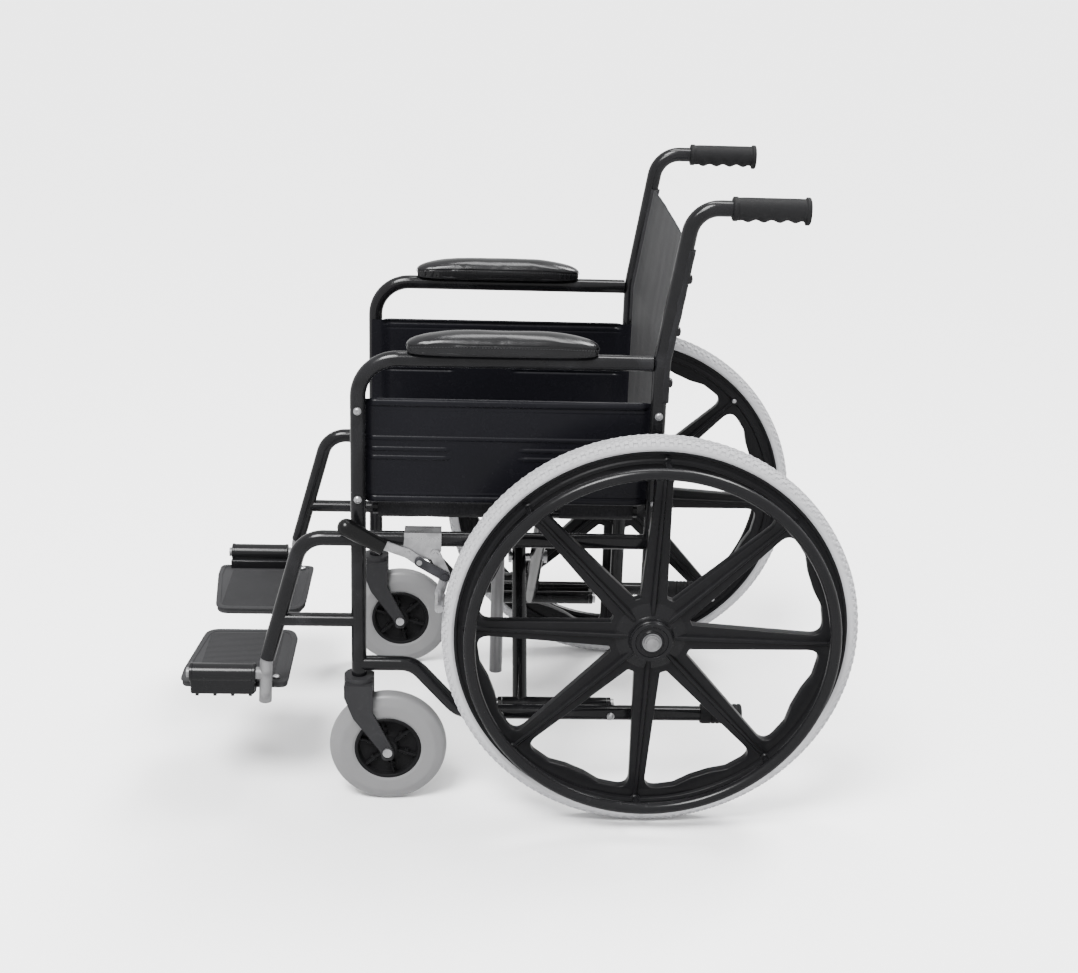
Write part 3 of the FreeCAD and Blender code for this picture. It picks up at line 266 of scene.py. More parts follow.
def leather(tone):
    """Vinyl cover: fine pebbled grain, broad soft creases and a worn sheen in patches."""
    def build(graph, place):
        warped = graph.node("ShaderNodeVectorMath", {"operation": "ADD"},
                            {0: place, 1: graph.stretched(graph.noise_colour(place, 60.0),
                                                          (0.004, 0.004, 0.004))})
        pebble = graph.node("ShaderNodeTexVoronoi", {"feature": "DISTANCE_TO_EDGE"},
                            {"Vector": warped, "Scale": 750.0})
        crease = graph.noise(place, 34.0, 2.0)
        cloud = graph.noise(place, 14.0, 4.0)
        base = graph.blend(cloud, shade(tone, 0.7), shade(tone, 1.4))
        rough = 0.2 + (cloud - 0.5) * 0.12
        fold = graph.bump(crease, 0.0006, 0.3)
        grain = graph.node("ShaderNodeBump", None, {"Height": graph.ramp(pebble, 0.0, 0.18),
                                                    "Distance": 0.00006,
                                                    "Strength": 0.35, "Normal": fold})
        return {"Base Color": base, "Roughness": rough, "Normal": grain}
    return build


def woven(tone, across, up, threads=1500.0):
    """Plain woven nylon: over and under threads along two axes, with faint clouds and creases."""
    def build(graph, place):
        first = graph.along(place, across) * threads
        second = graph.along(place, up) * threads
        warp = graph.node("ShaderNodeMath", {"operation": "SINE"}, {0: first})
        weft = graph.node("ShaderNodeMath", {"operation": "SINE"}, {0: second})
        weave = warp * weft
        cloud = graph.noise(place, 12.0, 5.0)
        crease = graph.noise(graph.stretched(place, (6.0, 6.0, 26.0)), 1.0, 4.0)
        slub = graph.noise(graph.stretched(place, (400.0, 60.0, 60.0)), 1.0, 2.0)
        base = graph.blend(graph.ramp(cloud + slub * 0.3, 0.4, 0.9), shade(tone, 0.75), shade(tone, 1.45))
        soft = graph.bump(crease, 0.003, 0.35)
        grain = graph.node("ShaderNodeBump", None, {"Height": weave, "Distance": 0.00016, "Strength": 0.8,
                                                    "Normal": soft})
        return {"Base Color": base, "Roughness": 0.62 + (cloud - 0.5) * 0.2, "Normal": grain}
    return build


def rubber(tone, roughness, grain, height, stain):
    """Grey or white solid rubber with faint scuffs and a little road dirt."""
    def build(graph, place):
        cloud = graph.noise(place, 16.0, 5.0)
        scuff = graph.ramp(graph.noise(graph.stretched(place, (50.0, 260.0, 50.0)), 1.0, 5.0), 0.55, 0.8)
        fine = graph.noise(place, grain, 2.0)
        base = graph.blend(scuff * stain, graph.blend(cloud, shade(tone, 0.93), shade(tone, 1.05)),
                           shade(tone, 0.6))
        return {"Base Color": base, "Roughness": roughness + scuff * 0.15 + (cloud - 0.5) * 0.1,
                "Normal": graph.bump(fine, height)}
    return build


FINISHES = {}


def finish(name):
    """The finish of that name, made when it is first asked for."""
    if name not in FINISHES:
        tones = bpy.context.scene.chair_colours
        makers = {
            "gloss_paint": (painted(tones.paint), {"specular_ior_level": 0.18, "coat_weight": 0.1}),
            "rail_paint": (rail_paint(tones.paint, (0.15, 0.15, 0.153), 0.436), {"specular_ior_level": 0.18}),
            "grey_steel": (plated((0.16, 0.16, 0.163), 0.34), {"metallic": 0.4, "specular_ior_level": 0.3}),
            "zinc": (plated((0.42, 0.42, 0.43), 0.22), {"metallic": 0.95}),
            "dark_steel": (plated((0.05, 0.05, 0.055), 0.3), {"metallic": 0.8}),
            "bearing_steel": (plated((0.3, 0.3, 0.31), 0.22, (60.0, 600.0, 60.0)), {"metallic": 1.0}),
            "wheel_plastic": (grained(tones.plastic, 0.3, 900.0, 0.00012, 0.3, 7.0, 0.16, 0.08),
                              {"specular_ior_level": 0.1}),
            "rim_plastic": (grained(tones.plastic, 0.22, 700.0, 0.00005, 0.3, 7.0, 0.12, 0.04),
                            {"specular_ior_level": 0.16}),
            "guard_plastic": (grained(tones.guard, 0.27, 520.0, 0.00008, 0.35, 5.0, 0.14, 0.05),
                              {"specular_ior_level": 0.1}),
            "fork_plastic": (grained(tones.fork, 0.46, 800.0, 0.0002, 0.2, 10.0, 0.1, 0.08),
                             {"specular_ior_level": 0.06}),
            "castor_plastic": (grained(shade(tones.fork, 0.35), 0.4, 800.0, 0.00015, 0.3, 10.0, 0.1, 0.08),
                               {"specular_ior_level": 0.05}),
            "plate_plastic": (grained(tones.plate, 0.5, 900.0, 0.0002, 0.12, 8.0, 0.12, 0.08),
                              {"specular_ior_level": 0.06}),
            "barrel_plastic": (grained(tones.plastic, 0.2, 500.0, 0.00004, 0.3, 9.0, 0.1, 0.04),
                               {"specular_ior_level": 0.2}),
            "grip_rubber": (grained(tones.grip, 0.55, 1000.0, 0.0004, 0.2, 16.0, 0.15, 0.1),
                            {"specular_ior_level": 0.06}),
            "lever_grip": (grained(shade(tones.grip, 0.3), 0.22, 600.0, 0.00006, 0.2, 16.0, 0.1, 0.04),
                           {"specular_ior_level": 0.2}),
            "tyre_rubber": (rubber(tones.tyre, 0.6, 700.0, 0.00025, 0.35), {"specular_ior_level": 0.1}),
            "castor_rubber": (rubber(tones.castor, 0.42, 500.0, 0.0001, 0.12), {"specular_ior_level": 0.4}),
            "vinyl": (leather(tones.vinyl), {"specular_ior_level": 0.2, "coat_weight": 0.08,
                                             "coat_roughness": 0.12}),
            "back_fabric": (woven(tones.fabric, 1, 2), {"specular_ior_level": 0.05, "sheen_weight": 0.03}),
            "seat_fabric": (woven(tones.fabric, 0, 1), {"specular_ior_level": 0.05, "sheen_weight": 0.03}),
            "thread": (grained(shade(tones.fabric, 1.4), 0.6, 1500.0, 0.0001), {"specular_ior_level": 0.2}),
            "floor": (grained((0.94, 0.94, 0.945), 0.8, 60.0, 0.0001, 0.01, 0.8, 0.05),
                      {"specular_ior_level": 0.1}),
        }
        build, constants = makers[name]
        FINISHES[name] = material(name, build, **constants)
    return FINISHES[name]


# ---------------------------------------------------------------- mesh helpers
def piece(name, verts, faces, look, smooth=True):
    """A mesh object in the object's own frame, with one finish."""
    data = bpy.data.meshes.new(name)
    data.from_pydata([tuple(v) for v in verts], [], faces)
    data.validate()
    made = bpy.data.objects.new(name, data)
    bpy.context.collection.objects.link(made)
    data.materials.append(finish(look))
    data.polygons.foreach_set("use_smooth", [smooth] * len(data.polygons))
    return made


def tidy(made, merge=0.00001, outward=True):
    """Merges doubled points and turns the faces outward."""
    bm = bmesh.new()
    bm.from_mesh(made.data)
    bmesh.ops.remove_doubles(bm, verts=bm.verts, dist=merge)
    if outward:
        bmesh.ops.recalc_face_normals(bm, faces=bm.faces)
    bm.to_mesh(made.data)
    bm.free()
    return made


def solid(made):
    """Applies every modifier, so that the object is a plain mesh."""
    bpy.context.view_layer.update()
    ready = made.evaluated_get(bpy.context.evaluated_depsgraph_get())
    data = bpy.data.meshes.new_from_object(ready)
    made.modifiers.clear()
    if made.type == "MESH":
        made.data = data
        return made
    name = made.name
    bpy.data.objects.remove(made)
    fresh = bpy.data.objects.new(name, data)
    bpy.context.collection.objects.link(fresh)
    return fresh


def modify(made, kind, **settings):
    """Adds one modifier, applies it and gives the object back."""
    step = made.modifiers.new(kind.title(), kind)
    for key, value in settings.items():
        setattr(step, key, value)
    return solid(made)


def sharpened(made, angle=35.0):
    """Smooth shading that keeps edges sharper than angle, in degrees."""
    limit = math.radians(angle)
    bm = bmesh.new()
    bm.from_mesh(made.data)
    for edge in bm.edges:
        edge.smooth = len(edge.link_faces) == 2 and edge.calc_face_angle(0) < limit
    for face in bm.faces:
        face.smooth = True
    bm.to_mesh(made.data)
    bm.free()
    return made


def joined(name, *parts):
    """The parts as one mesh object called name, each part with its own finish."""
    first = parts[0]
    with bpy.context.temp_override(active_object=first, object=first, selected_objects=list(parts),
                                   selected_editable_objects=list(parts)):
        bpy.ops.object.join()
    first.name = name
    first.data.name = name
    return first


def lathe(name, profile, centre, look, steps=128, closed=True):
    """Turns a profile of (radius, offset along Y) about the Y axis through centre."""
    verts = []
    count = len(profile)
    for index in range(steps):
        angle = 2 * math.pi * index / steps
        for radius, offset in profile:
            verts.append((centre[0] + radius * math.cos(angle), centre[1] + offset,
                          centre[2] + radius * math.sin(angle)))
    last = count if closed else count - 1
    faces = []
    for index in range(steps):
        here, there = index * count, (index + 1) % steps * count
        for row in range(last):
            above = (row + 1) % count
            faces.append((here + row, here + above, there + above, there + row))
    return tidy(piece(name, verts, faces, look))


def softened_profile(corners, radii, steps=5):
    """A closed outline through corners, each rounded by its own radius."""
    points = []
    count = len(corners)
    for index, radius in enumerate(radii):
        corner = Vector(corners[index])
        before = (Vector(corners[index - 1]) - corner)
        after = (Vector(corners[(index + 1) % count]) - corner)
        if radius <= 0:
            points.append(tuple(corner))
            continue
        half = before.angle(after) / 2
        reach = min(radius / math.tan(half), before.length * 0.49, after.length * 0.49)
        start = corner + before.normalized() * reach
        end = corner + after.normalized() * reach
        for step in range(steps + 1):
            share = step / steps
            points.append(tuple(start.lerp(corner, share).lerp(corner.lerp(end, share), share)))
    return points


def mirrored(made, name):
    """The right-hand twin of a left-hand piece."""
    twin = made.copy()
    twin.data = made.data.copy()
    twin.name = name
    twin.data.name = name
    bpy.context.collection.objects.link(twin)
    twin.data.transform(Matrix.Scale(-1, 4, (0, 1, 0)))
    twin.data.flip_normals()
    return twin


def both(made, stem, body, slot, *nodes):
    """Hangs a left-hand piece and its right-hand twin on their bodies, in place of their CAD nodes."""
    twin = mirrored(made, f"right_{stem}")
    made.name = f"left_{stem}"
    for copy, (side, _) in ((made, SIDES[0]), (twin, SIDES[1])):
        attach(copy, f"{side}_{body}")
        if nodes:
            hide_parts(*(f"{side}_{node}" for node in nodes))
    return made, twin


def post_x(height):
    """Middle of a back post at a height: upright up to POST_BEND, raked back above it."""
    low, high = BOXES["left_rear_axle"]
    return (low.x + high.x) / 2 - max(0.0, height - POST_BEND) * math.tan(POST_RAKE)


# ---------------------------------------------------------------- geometry node trees
def tree_with(name, sockets):
    tree = bpy.data.node_groups.new(name, "GeometryNodeTree")
    tree.interface.new_socket("Geometry", in_out="OUTPUT", socket_type="NodeSocketGeometry")
    for label, kind in sockets:
        tree.interface.new_socket(label, in_out="INPUT", socket_type=f"NodeSocket{kind}")
    graph = Graph(tree)
    entry = tree.nodes.new("NodeGroupInput")
    given = {label: Field(graph, entry.outputs[label]) for label, _ in sockets}
    return graph, given


def close_tree(graph, points, given, turn):
    """Puts the copied object on points, makes it real and gives it its finish."""
    copy = graph.node("GeometryNodeObjectInfo", None, {"Object": given["Copy"]}, "Geometry")
    placed = graph.node("GeometryNodeInstanceOnPoints", None,
                        {"Points": points, "Instance": copy, "Rotation": turn})
    real = graph.node("GeometryNodeRealizeInstances", None, {0: placed})
    painted_up = graph.node("GeometryNodeSetMaterial", None, {"Geometry": real, "Material": given["Finish"]})
    smooth = graph.node("GeometryNodeSetShadeSmooth", None, {"Geometry": painted_up, "Shade Smooth": False})
    graph.node("NodeGroupOutput", None, {0: smooth})
    return graph.tree


def ring_tree():
    """Copies around the Y axis through a centre."""
    graph, given = tree_with("Ring of copies", (("Copy", "Object"), ("Finish", "Material"), ("Count", "Int"),
                                                ("Centre", "Vector"), ("Radius", "Float"), ("First Turn",
                                                                                            "Float")))
    index = graph.node("GeometryNodeInputIndex")
    angle = index / given["Count"] * math.tau + given["First Turn"]
    across = graph.node("ShaderNodeMath", {"operation": "COSINE"}, {0: angle}) * given["Radius"]
    up = graph.node("ShaderNodeMath", {"operation": "SINE"}, {0: angle}) * given["Radius"]
    offset = graph.node("ShaderNodeCombineXYZ", None, {0: across, 2: up})
    place = graph.node("ShaderNodeVectorMath", {"operation": "ADD"}, {0: offset, 1: given["Centre"]})
    points = graph.node("GeometryNodePoints", None, {"Count": given["Count"], "Position": place})
    turn = graph.node("ShaderNodeCombineXYZ", None, {1: angle * -1.0})
    return close_tree(graph, points, given, turn)


def row_tree():
    """Copies in a straight row."""
    graph, given = tree_with("Row of copies", (("Copy", "Object"), ("Finish", "Material"), ("Count", "Int"),
                                               ("Start", "Vector"), ("Step", "Vector")))
    index = graph.node("GeometryNodeInputIndex")
    offset = graph.node("ShaderNodeVectorMath", {"operation": "SCALE"}, {0: given["Step"], "Scale": index})
    place = graph.node("ShaderNodeVectorMath", {"operation": "ADD"}, {0: offset, 1: given["Start"]})
    points = graph.node("GeometryNodePoints", None, {"Count": given["Count"], "Position": place})
    return close_tree(graph, points, given, (0, 0, 0))


def path_tree():
    """Copies along a curve, each turned to lie along it."""
    graph, given = tree_with("Copies on a path", (("Copy", "Object"), ("Finish", "Material"),
                                                  ("Path", "Object"),
                                                  ("Spacing", "Float")))
    curve = graph.node("GeometryNodeObjectInfo", None, {"Object": given["Path"]}, "Geometry")
    points = graph.node("GeometryNodeCurveToPoints", {"mode": "LENGTH"},
                        {"Curve": curve, "Length": given["Spacing"]})
    tangent = Field(graph, points.socket.node.outputs["Tangent"])
    turn = graph.node("FunctionNodeAlignRotationToVector", {"axis": "X"}, {"Vector": tangent})
    return close_tree(graph, points, given, turn)


TREES = {}


def copies(name, tree_name, look, **values):
    """A plain mesh made by one of the trees; the copied object is removed afterwards."""
    makers = {"ring": ring_tree, "row": row_tree, "path": path_tree}
    if tree_name not in TREES:
        TREES[tree_name] = makers[tree_name]()
    tree = TREES[tree_name]
    host = bpy.data.objects.new(name, bpy.data.meshes.new(name))
    bpy.context.collection.objects.link(host)
    step = host.modifiers.new("Copies", "NODES")
    step.node_group = tree
    values["Finish"] = finish(look)
    names = {item.name: item.identifier for item in tree.interface.items_tree if item.in_out == "INPUT"}
    for key, value in values.items():
        step[names[key.replace("_", " ")]] = value
    made = solid(host)
    for used in (values["Copy"], values.get("Path")):
        if used:
            bpy.data.objects.remove(used)
    if not made.data.materials:
        made.data.materials.append(finish(look))
    return made


def lug(name, outline, low, high, taper, tilt=0.0):
    """A small block, its outline across the wheel (Y) and along it (Z), its top away from the hub (X)."""
    verts = []
    for height, size in ((low, 1.0), (high, taper)):
        for y, z in outline:
            spot = Vector((height, y * size, z * size))
            verts.append(Matrix.Rotation(tilt, 3, "Z") @ spot)
    count = len(outline)
    faces = [tuple(range(count))[::-1], tuple(range(count, 2 * count))]
    faces += [(i, (i + 1) % count, count + (i + 1) % count, count + i) for i in range(count)]
    return tidy(piece(name, verts, faces, "tyre_rubber", False))


def turned_about(name, profile, centre, look, axis="Y", steps=64):
    """A closed profile of (radius, offset) turned about X or Y through centre."""
    made = lathe(name, profile, (0, 0, 0), look, steps)
    turn = Matrix.Rotation(-math.pi / 2, 4, "Z") if axis == "X" else Matrix.Identity(4)
    made.data.transform(Matrix.Translation(centre) @ turn)
    return made


def loft(name, sections, look, smooth=True):
    """A closed skin over sections that have the same number of points."""
    count = len(sections[0])
    verts = [point for section in sections for point in section]
    faces = [tuple(range(count))[::-1], tuple(range(len(verts) - count, len(verts)))]
    for row in range(len(sections) - 1):
        low = row * count
        for index in range(count):
            near = (index + 1) % count
            faces.append((low + index, low + near, low + count + near, low + count + index))
    return tidy(piece(name, verts, faces, look, smooth))


def rounded_block(name, low, high, edge, look):
    """A box with rounded edges between two corners."""
    bm = bmesh.new()
    bmesh.ops.create_cube(bm, size=1)
    low, high = Vector(low), Vector(high)
    for vert in bm.verts:
        vert.co = Vector((low[axis] + (vert.co[axis] + 0.5) * (high[axis] - low[axis]) for axis in range(3)))
    bmesh.ops.bevel(bm, geom=bm.edges, offset=edge, segments=3, profile=0.5, affect="EDGES")
    data = bpy.data.meshes.new(name)
    bm.to_mesh(data)
    bm.free()
    made = bpy.data.objects.new(name, data)
    bpy.context.collection.objects.link(made)
    data.materials.append(finish(look))
    data.polygons.foreach_set("use_smooth", [True] * len(data.polygons))
    return made


def flat_plate(name, loops, thickness, edge, look, upright=False):
    """A plate cut to loops of (x, y), the first its outline and the rest its holes, with rounded edges."""
    data = bpy.data.curves.new(name, "CURVE")
    data.dimensions = "2D"
    data.fill_mode = "BOTH"
    data.extrude = thickness / 2 - edge
    data.bevel_depth = edge
    data.bevel_resolution = 2
    data.offset = -edge
    for loop in loops:
        spline = data.splines.new("POLY")
        spline.points.add(len(loop) - 1)
        spline.use_cyclic_u = True
        for point, spot in zip(spline.points, loop):
            point.co = (*spot, 0, 1)
    made = bpy.data.objects.new(name, data)
    bpy.context.collection.objects.link(made)
    made = solid(made)
    if upright:
        made.data.transform(Matrix.Rotation(math.pi / 2, 4, "X"))
    made.data.materials.clear()
    made.data.materials.append(finish(look))
    return sharpened(tidy(made), 50)


def softened_copy(node, name, edge, look, angle=40.0):
    """A copy of a CAD node's mesh with its sharp edges rounded."""
    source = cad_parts[node]
    made = bpy.data.objects.new(name, source.data.copy())
    bpy.context.collection.objects.link(made)
    bm = bmesh.new()
    bm.from_mesh(made.data)
    bmesh.ops.remove_doubles(bm, verts=bm.verts, dist=0.00002)
    bmesh.ops.dissolve_limit(bm, angle_limit=math.radians(1.5), verts=bm.verts, edges=bm.edges)
    bm.to_mesh(made.data)
    bm.free()
    made.data.materials.clear()
    made.data.materials.append(finish(look))
    return modify(made, "BEVEL", width=edge, segments=2, limit_method="ANGLE",
                  angle_limit=math.radians(angle),
                  use_clamp_overlap=True, harden_normals=True)


class Maker(bpy.types.Operator):
    """What the operators have in common."""
    bl_options = {"REGISTER", "UNDO"}


# ---------------------------------------------------------------- carried-over nodes
class CHAIR_OT_finishes(Maker):
    """Give every CAD node its procedural finish"""
    bl_idname = "chair.finishes"
    bl_label = "Finish the steel parts"

    looks = {
        "front_tube": "gloss_paint", "rear_tube": "gloss_paint", "upper_rail": "gloss_paint",
        "lower_rail": "gloss_paint", "footrest_hanger": "gloss_paint", "brace_leg": "gloss_paint",
        "seat_rail": "rail_paint", "footrest_tube": "grey_steel", "frame_fasteners": "zinc",
        "rear_axle": "grey_steel",
        "hub_bearings": "bearing_steel", "castor_bolts": "zinc", "brace_bolt": "zinc", "lock_bracket": "zinc",
        "lock_lever": "zinc", "lock_link": "dark_steel", "lock_shoe": "zinc", "lock_grip": "lever_grip",
        "push_grip": "grip_rubber", "tip_cap": "grip_rubber", "handrim": "rim_plastic",
        "rear_wheel": "wheel_plastic",
        "castor_hub": "castor_plastic", "castor_fork": "fork_plastic", "footplate": "plate_plastic",
        "rear_tyre": "tyre_rubber", "castor_tyre": "castor_rubber", "skirt_guard": "guard_plastic",
        "arm_pad": "vinyl", "back_sling": "back_fabric", "seat_sling": "seat_fabric",
    }

    def execute(self, context):
        for name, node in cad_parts.items():
            look = next((kind for part, kind in self.looks.items() if part in name), None)
            if look is None:
                raise RuntimeError(f"no finish is listed for {name}")
            for slot in node.material_slots:
                slot.material = finish(look)
        return {"FINISHED"}


# ---------------------------------------------------------------- rear wheels
class CHAIR_OT_rear_tyres(Maker):
    """Make the solid tyres with their lugs"""
    bl_idname = "chair.rear_tyres"
    bl_label = "Rear tyres"

    def execute(self, context):
        sizes = context.scene.chair_wheels
        low, high = BOXES["left_rear_tyre"]
        centre = (low + high) / 2
        half = (high.y - low.y) / 2
        crown = (high.x - low.x) / 2 - sizes.tread_height
        bead = crown - 16.6 * MM
        side = [(bead, 15 * MM), (bead + 3.5 * MM, half), (crown - 8 * MM, half),
                (crown - 0.6 * MM, half - 8.5 * MM)]
        radii = [1 * MM, 3 * MM, 7 * MM, 8 * MM]
        corners = [(r, -y) for r, y in side] + [(crown, 0)] + side[::-1]
        profile = softened_profile(corners, radii + [30 * MM] + radii[::-1], 6)
        parts = [lathe("tyre_body", profile, centre, "tyre_rubber", 256)]
        diamond = ((-3.1 * MM, 0), (0, -4.9 * MM), (3.1 * MM, 0), (0, 4.9 * MM))
        block = ((-2.6 * MM, -3.6 * MM), (2.6 * MM, -3.6 * MM), (2.6 * MM, 3.6 * MM), (-2.6 * MM, 3.6 * MM))
        step = math.pi / sizes.tread_count
        rows = [(diamond, y * MM, crown - abs(y) * 0.06 * MM, 0, index % 2)
                for index, y in enumerate((-7.8, -3.9, 0, 3.9, 7.8))]
        for sign in (-1, 1):
            rows.append((block, sign * (half - 5.6 * MM), crown - 2.6 * MM, sign * 0.62, 1))
            rows.append((block, sign * (half - 1.9 * MM), crown - 6.4 * MM, sign * 1.12, 0))
        for outline, offset, radius, tilt, shift in rows:
            stud = lug("lug", outline, -0.7 * MM, sizes.tread_height, 0.72, tilt)
            parts.append(copies("lugs", "ring", "tyre_rubber", Copy=stud, Count=sizes.tread_count,
                                Radius=radius,
                                Centre=(centre.x, centre.y + offset, centre.z), First_Turn=shift * step))
        both(joined("rear_tyre", *parts), "tyre_with_tread", "rear_wheel", "grey_tyre", "rear_tyre")
        return {"FINISHED"}


class CHAIR_OT_rear_wheels(Maker):
    """Make the moulded wheels: spoked plate, ribs, rim and hub"""
    bl_idname = "chair.rear_wheels"
    bl_label = "Rear wheels"

    spoke_turn = math.radians(2)
    spoke_root, spoke_tip = 19 * MM, 11 * MM
    flange, opening_reach, wave = 60 * MM, 251 * MM, 9 * MM

    def opening(self, turn, count):
        """One opening between two spokes, with the wavy edge under the rim."""
        half = math.pi / count

        def on_side(radius, side):
            share = (radius - self.flange) / (self.opening_reach - self.flange)
            width = self.spoke_root + (self.spoke_tip - self.spoke_root) * share
            return radius, side * (half - math.asin(width / radius))

        start = self.flange * 1.02
        spots = [on_side(start, -1), on_side(self.opening_reach, -1)]
        spots += [(self.opening_reach - self.wave * depth, half * at)
                  for at, depth in ((-0.42, 0.25), (-0.16, 1), (0.16, 1), (0.42, 0.25))]
        spots += [on_side(self.opening_reach, 1), on_side(start, 1)]
        corners = [(r * math.cos(a + turn), r * math.sin(a + turn)) for r, a in spots]
        radii = [3 * MM, 32 * MM, 16 * MM, 12 * MM, 12 * MM, 16 * MM, 32 * MM, 3 * MM]
        return softened_profile(corners, radii, 8)[::-1]

    def rib(self, reach):
        """One raised rib, the same on both faces, tapering from the hub to the rim."""
        sections = []
        for share in (0, 0.1, 0.3, 0.6, 0.9, 1.0):
            along = 26 * MM + (reach - 26 * MM) * share
            tall = (14.5 - 4.0 * share) * MM
            wide = (5.2 - 1.8 * share) * MM
            ring = [(1.0, 7.4 * MM), (0.62, tall - 1.2 * MM), (0.38, tall), (-0.38, tall),
                    (-0.62, tall - 1.2 * MM),
                    (-1.0, 7.4 * MM)]
            ring += [(w, -y) for w, y in ring[::-1]]
            sections.append([(along, y, w * wide) for w, y in ring])
        return sharpened(loft("rib", sections, "wheel_plastic"), 30)

    def execute(self, context):
        sizes = context.scene.chair_wheels
        count = sizes.spoke_count
        low, high = BOXES["left_rear_wheel"]
        centre = (low + high) / 2
        rim = (high.x - low.x) / 2
        turns = [self.spoke_turn + 2 * math.pi * (index + 0.5) / count for index in range(count)]
        circle = [(rim - 6 * MM, 2 * math.pi * index / 192) for index in range(192)]
        outline = [(r * math.cos(a), r * math.sin(a)) for r, a in circle]
        plate = flat_plate("wheel_plate", [outline] + [self.opening(turn, count) for turn in turns],
                           16 * MM, sizes.edge, "wheel_plastic", True)
        plate.data.transform(Matrix.Translation(centre))
        parts = [plate]
        parts.append(copies("ribs", "ring", "wheel_plastic", Copy=self.rib(rim - 14 * MM), Count=count,
                            Radius=0.0,
                            Centre=tuple(centre), First_Turn=self.spoke_turn))
        side = [(rim, 16), (rim - 3.2 * MM, 16), (rim - 5.5 * MM, 12.2), (rim - 11.5 * MM, 11.2),
                (rim - 14.5 * MM, 13.2), (rim - 18.5 * MM, 12.6), (rim - 20.5 * MM, 6.5)]
        corners = [(r, -y * MM) for r, y in side] + [(r, y * MM) for r, y in side[::-1]]
        radii = [0.4 * MM] + [1.4 * MM] * 5 + [0.5 * MM]
        parts.append(sharpened(lathe("rim", softened_profile(corners, radii + radii[::-1], 4), centre,
                                     "wheel_plastic", 256), 60))
        half = (high.y - low.y) / 2
        hub = [(54 * MM, 7), (40 * MM, 12), (33.5 * MM, 14.5), (31 * MM, 18), (31 * MM, 25.5),
               (29.6 * MM, 27),
               (29.6 * MM, half / MM), (24 * MM, half / MM), (23 * MM, half / MM - 2.5), (17.5 * MM,
                                                                                          half / MM - 2.5),
               (16.5 * MM, half / MM - 0.5), (14 * MM, half / MM - 0.5)]
        corners = [(r, -y * MM) for r, y in hub] + [(r, y * MM) for r, y in hub[::-1]]
        radii = [0.5 * MM, 4 * MM] + [1 * MM] * 9 + [0.2 * MM]
        parts.append(sharpened(lathe("hub", softened_profile(corners, radii + radii[::-1], 3), centre,
                                     "rim_plastic", 96), 60))
        boss = turned_about("boss", [(0.01 * MM, 0), (7 * MM, 0), (7 * MM, 4.5 * MM), (5.4 * MM, 6 * MM),
                                     (0.01 * MM, 6 * MM)],
                            (0, 7 * MM, 0), "wheel_plastic", steps=24)
        parts.append(copies("bosses", "ring", "wheel_plastic", Copy=boss, Count=count, Radius=rim - 17 * MM,
                            Centre=tuple(centre), First_Turn=self.spoke_turn))
        both(joined("rear_wheel", *parts), "moulded_wheel", "rear_wheel", "wheel_plastic", "rear_wheel")
        head = turned_about("rim_screw", [(0.01 * MM, -3 * MM), (1.6 * MM, -3 * MM), (3.4 * MM, -2 * MM),
                                          (4 * MM, 0), (0.01 * MM, 0)],
                            (0, 0, 0), "zinc", steps=20)
        screws = copies("rim_screws", "ring", "zinc", Copy=head, Count=count, Radius=rim - 18 * MM,
                        Centre=(centre.x, centre.y - 12.4 * MM, centre.z), First_Turn=self.spoke_turn)
        both(tidy(screws), "rim_screws", "rear_wheel", "zinc_steel")
        return {"FINISHED"}


# ---------------------------------------------------------------- castors
class CHAIR_OT_castors(Maker):
    """Make the castor tyres, hubs and forks"""
    bl_idname = "chair.castors"
    bl_label = "Castors"

    def execute(self, context):
        low, high = BOXES["left_castor_tyre"]
        centre = (low + high) / 2
        reach = (high.x - low.x) / 2
        half = (high.y - low.y) / 2
        bore = 49.6 * MM
        side = [(bore, 13.5 * MM), (bore + 4 * MM, half - 1.5 * MM), (reach - 17 * MM, half),
                (reach - 2 * MM, half - 6 * MM)]
        radii = [0.6 * MM, 4 * MM, 14 * MM, 10 * MM]
        corners = [(r, -y) for r, y in side] + [(reach + 0.6 * MM, 0)] + side[::-1]
        tyre = lathe("castor_tyre", softened_profile(corners, radii + [40 * MM] + radii[::-1], 8), centre,
                     "castor_rubber", 160)
        both(tyre, "smooth_castor_tyre", "castor_wheel", "castor_rubber", "castor_tyre")
        side = [(49.9 * MM, 13.6), (47.2 * MM, 15.2), (44.6 * MM, 14.4), (42.8 * MM, 4.2), (24 * MM, 3.2),
                (16.5 * MM, 4.4),
                (14 * MM, 16.4), (11 * MM, 17), (4.4 * MM, 17)]
        corners = [(r, -y * MM) for r, y in side] + [(r, y * MM) for r, y in side[::-1]]
        radii = [0.3 * MM, 1.2 * MM, 1.2 * MM, 1.5 * MM, 2 * MM, 2 * MM, 1 * MM, 0.8 * MM, 0.2 * MM]
        hub = sharpened(lathe("castor_hub", softened_profile(corners, radii + radii[::-1], 3), centre,
                              "castor_plastic", 96), 60)
        fins = []
        for inner, outer, tall, wide in ((12, 43.8, 11.5, 1.7), (26, 31, 9.5, 4.5)):
            sections = []
            for along in (inner, outer):
                ring = ((wide, -tall), (wide, tall - 1), (wide - 0.8, tall), (0.8 - wide, tall),
                        (-wide, tall - 1), (-wide, -tall))
                sections.append([(along * MM, y * MM, z * MM) for z, y in ring])
            fins.append(copies("fins", "ring", "castor_plastic",
                               Copy=loft("fin", sections, "castor_plastic", False),
                               Count=6, Radius=0.0, Centre=tuple(centre), First_Turn=math.radians(18)))
        both(joined("castor_hub", hub, *fins), "ribbed_castor_hub", "castor_wheel", "castor_plastic",
             "castor_hub")
        fork = softened_copy("left_castor_fork", "castor_fork", 1.6 * MM, "fork_plastic")
        both(fork, "moulded_fork", "castor", "castor_plastic", "castor_fork")
        return {"FINISHED"}


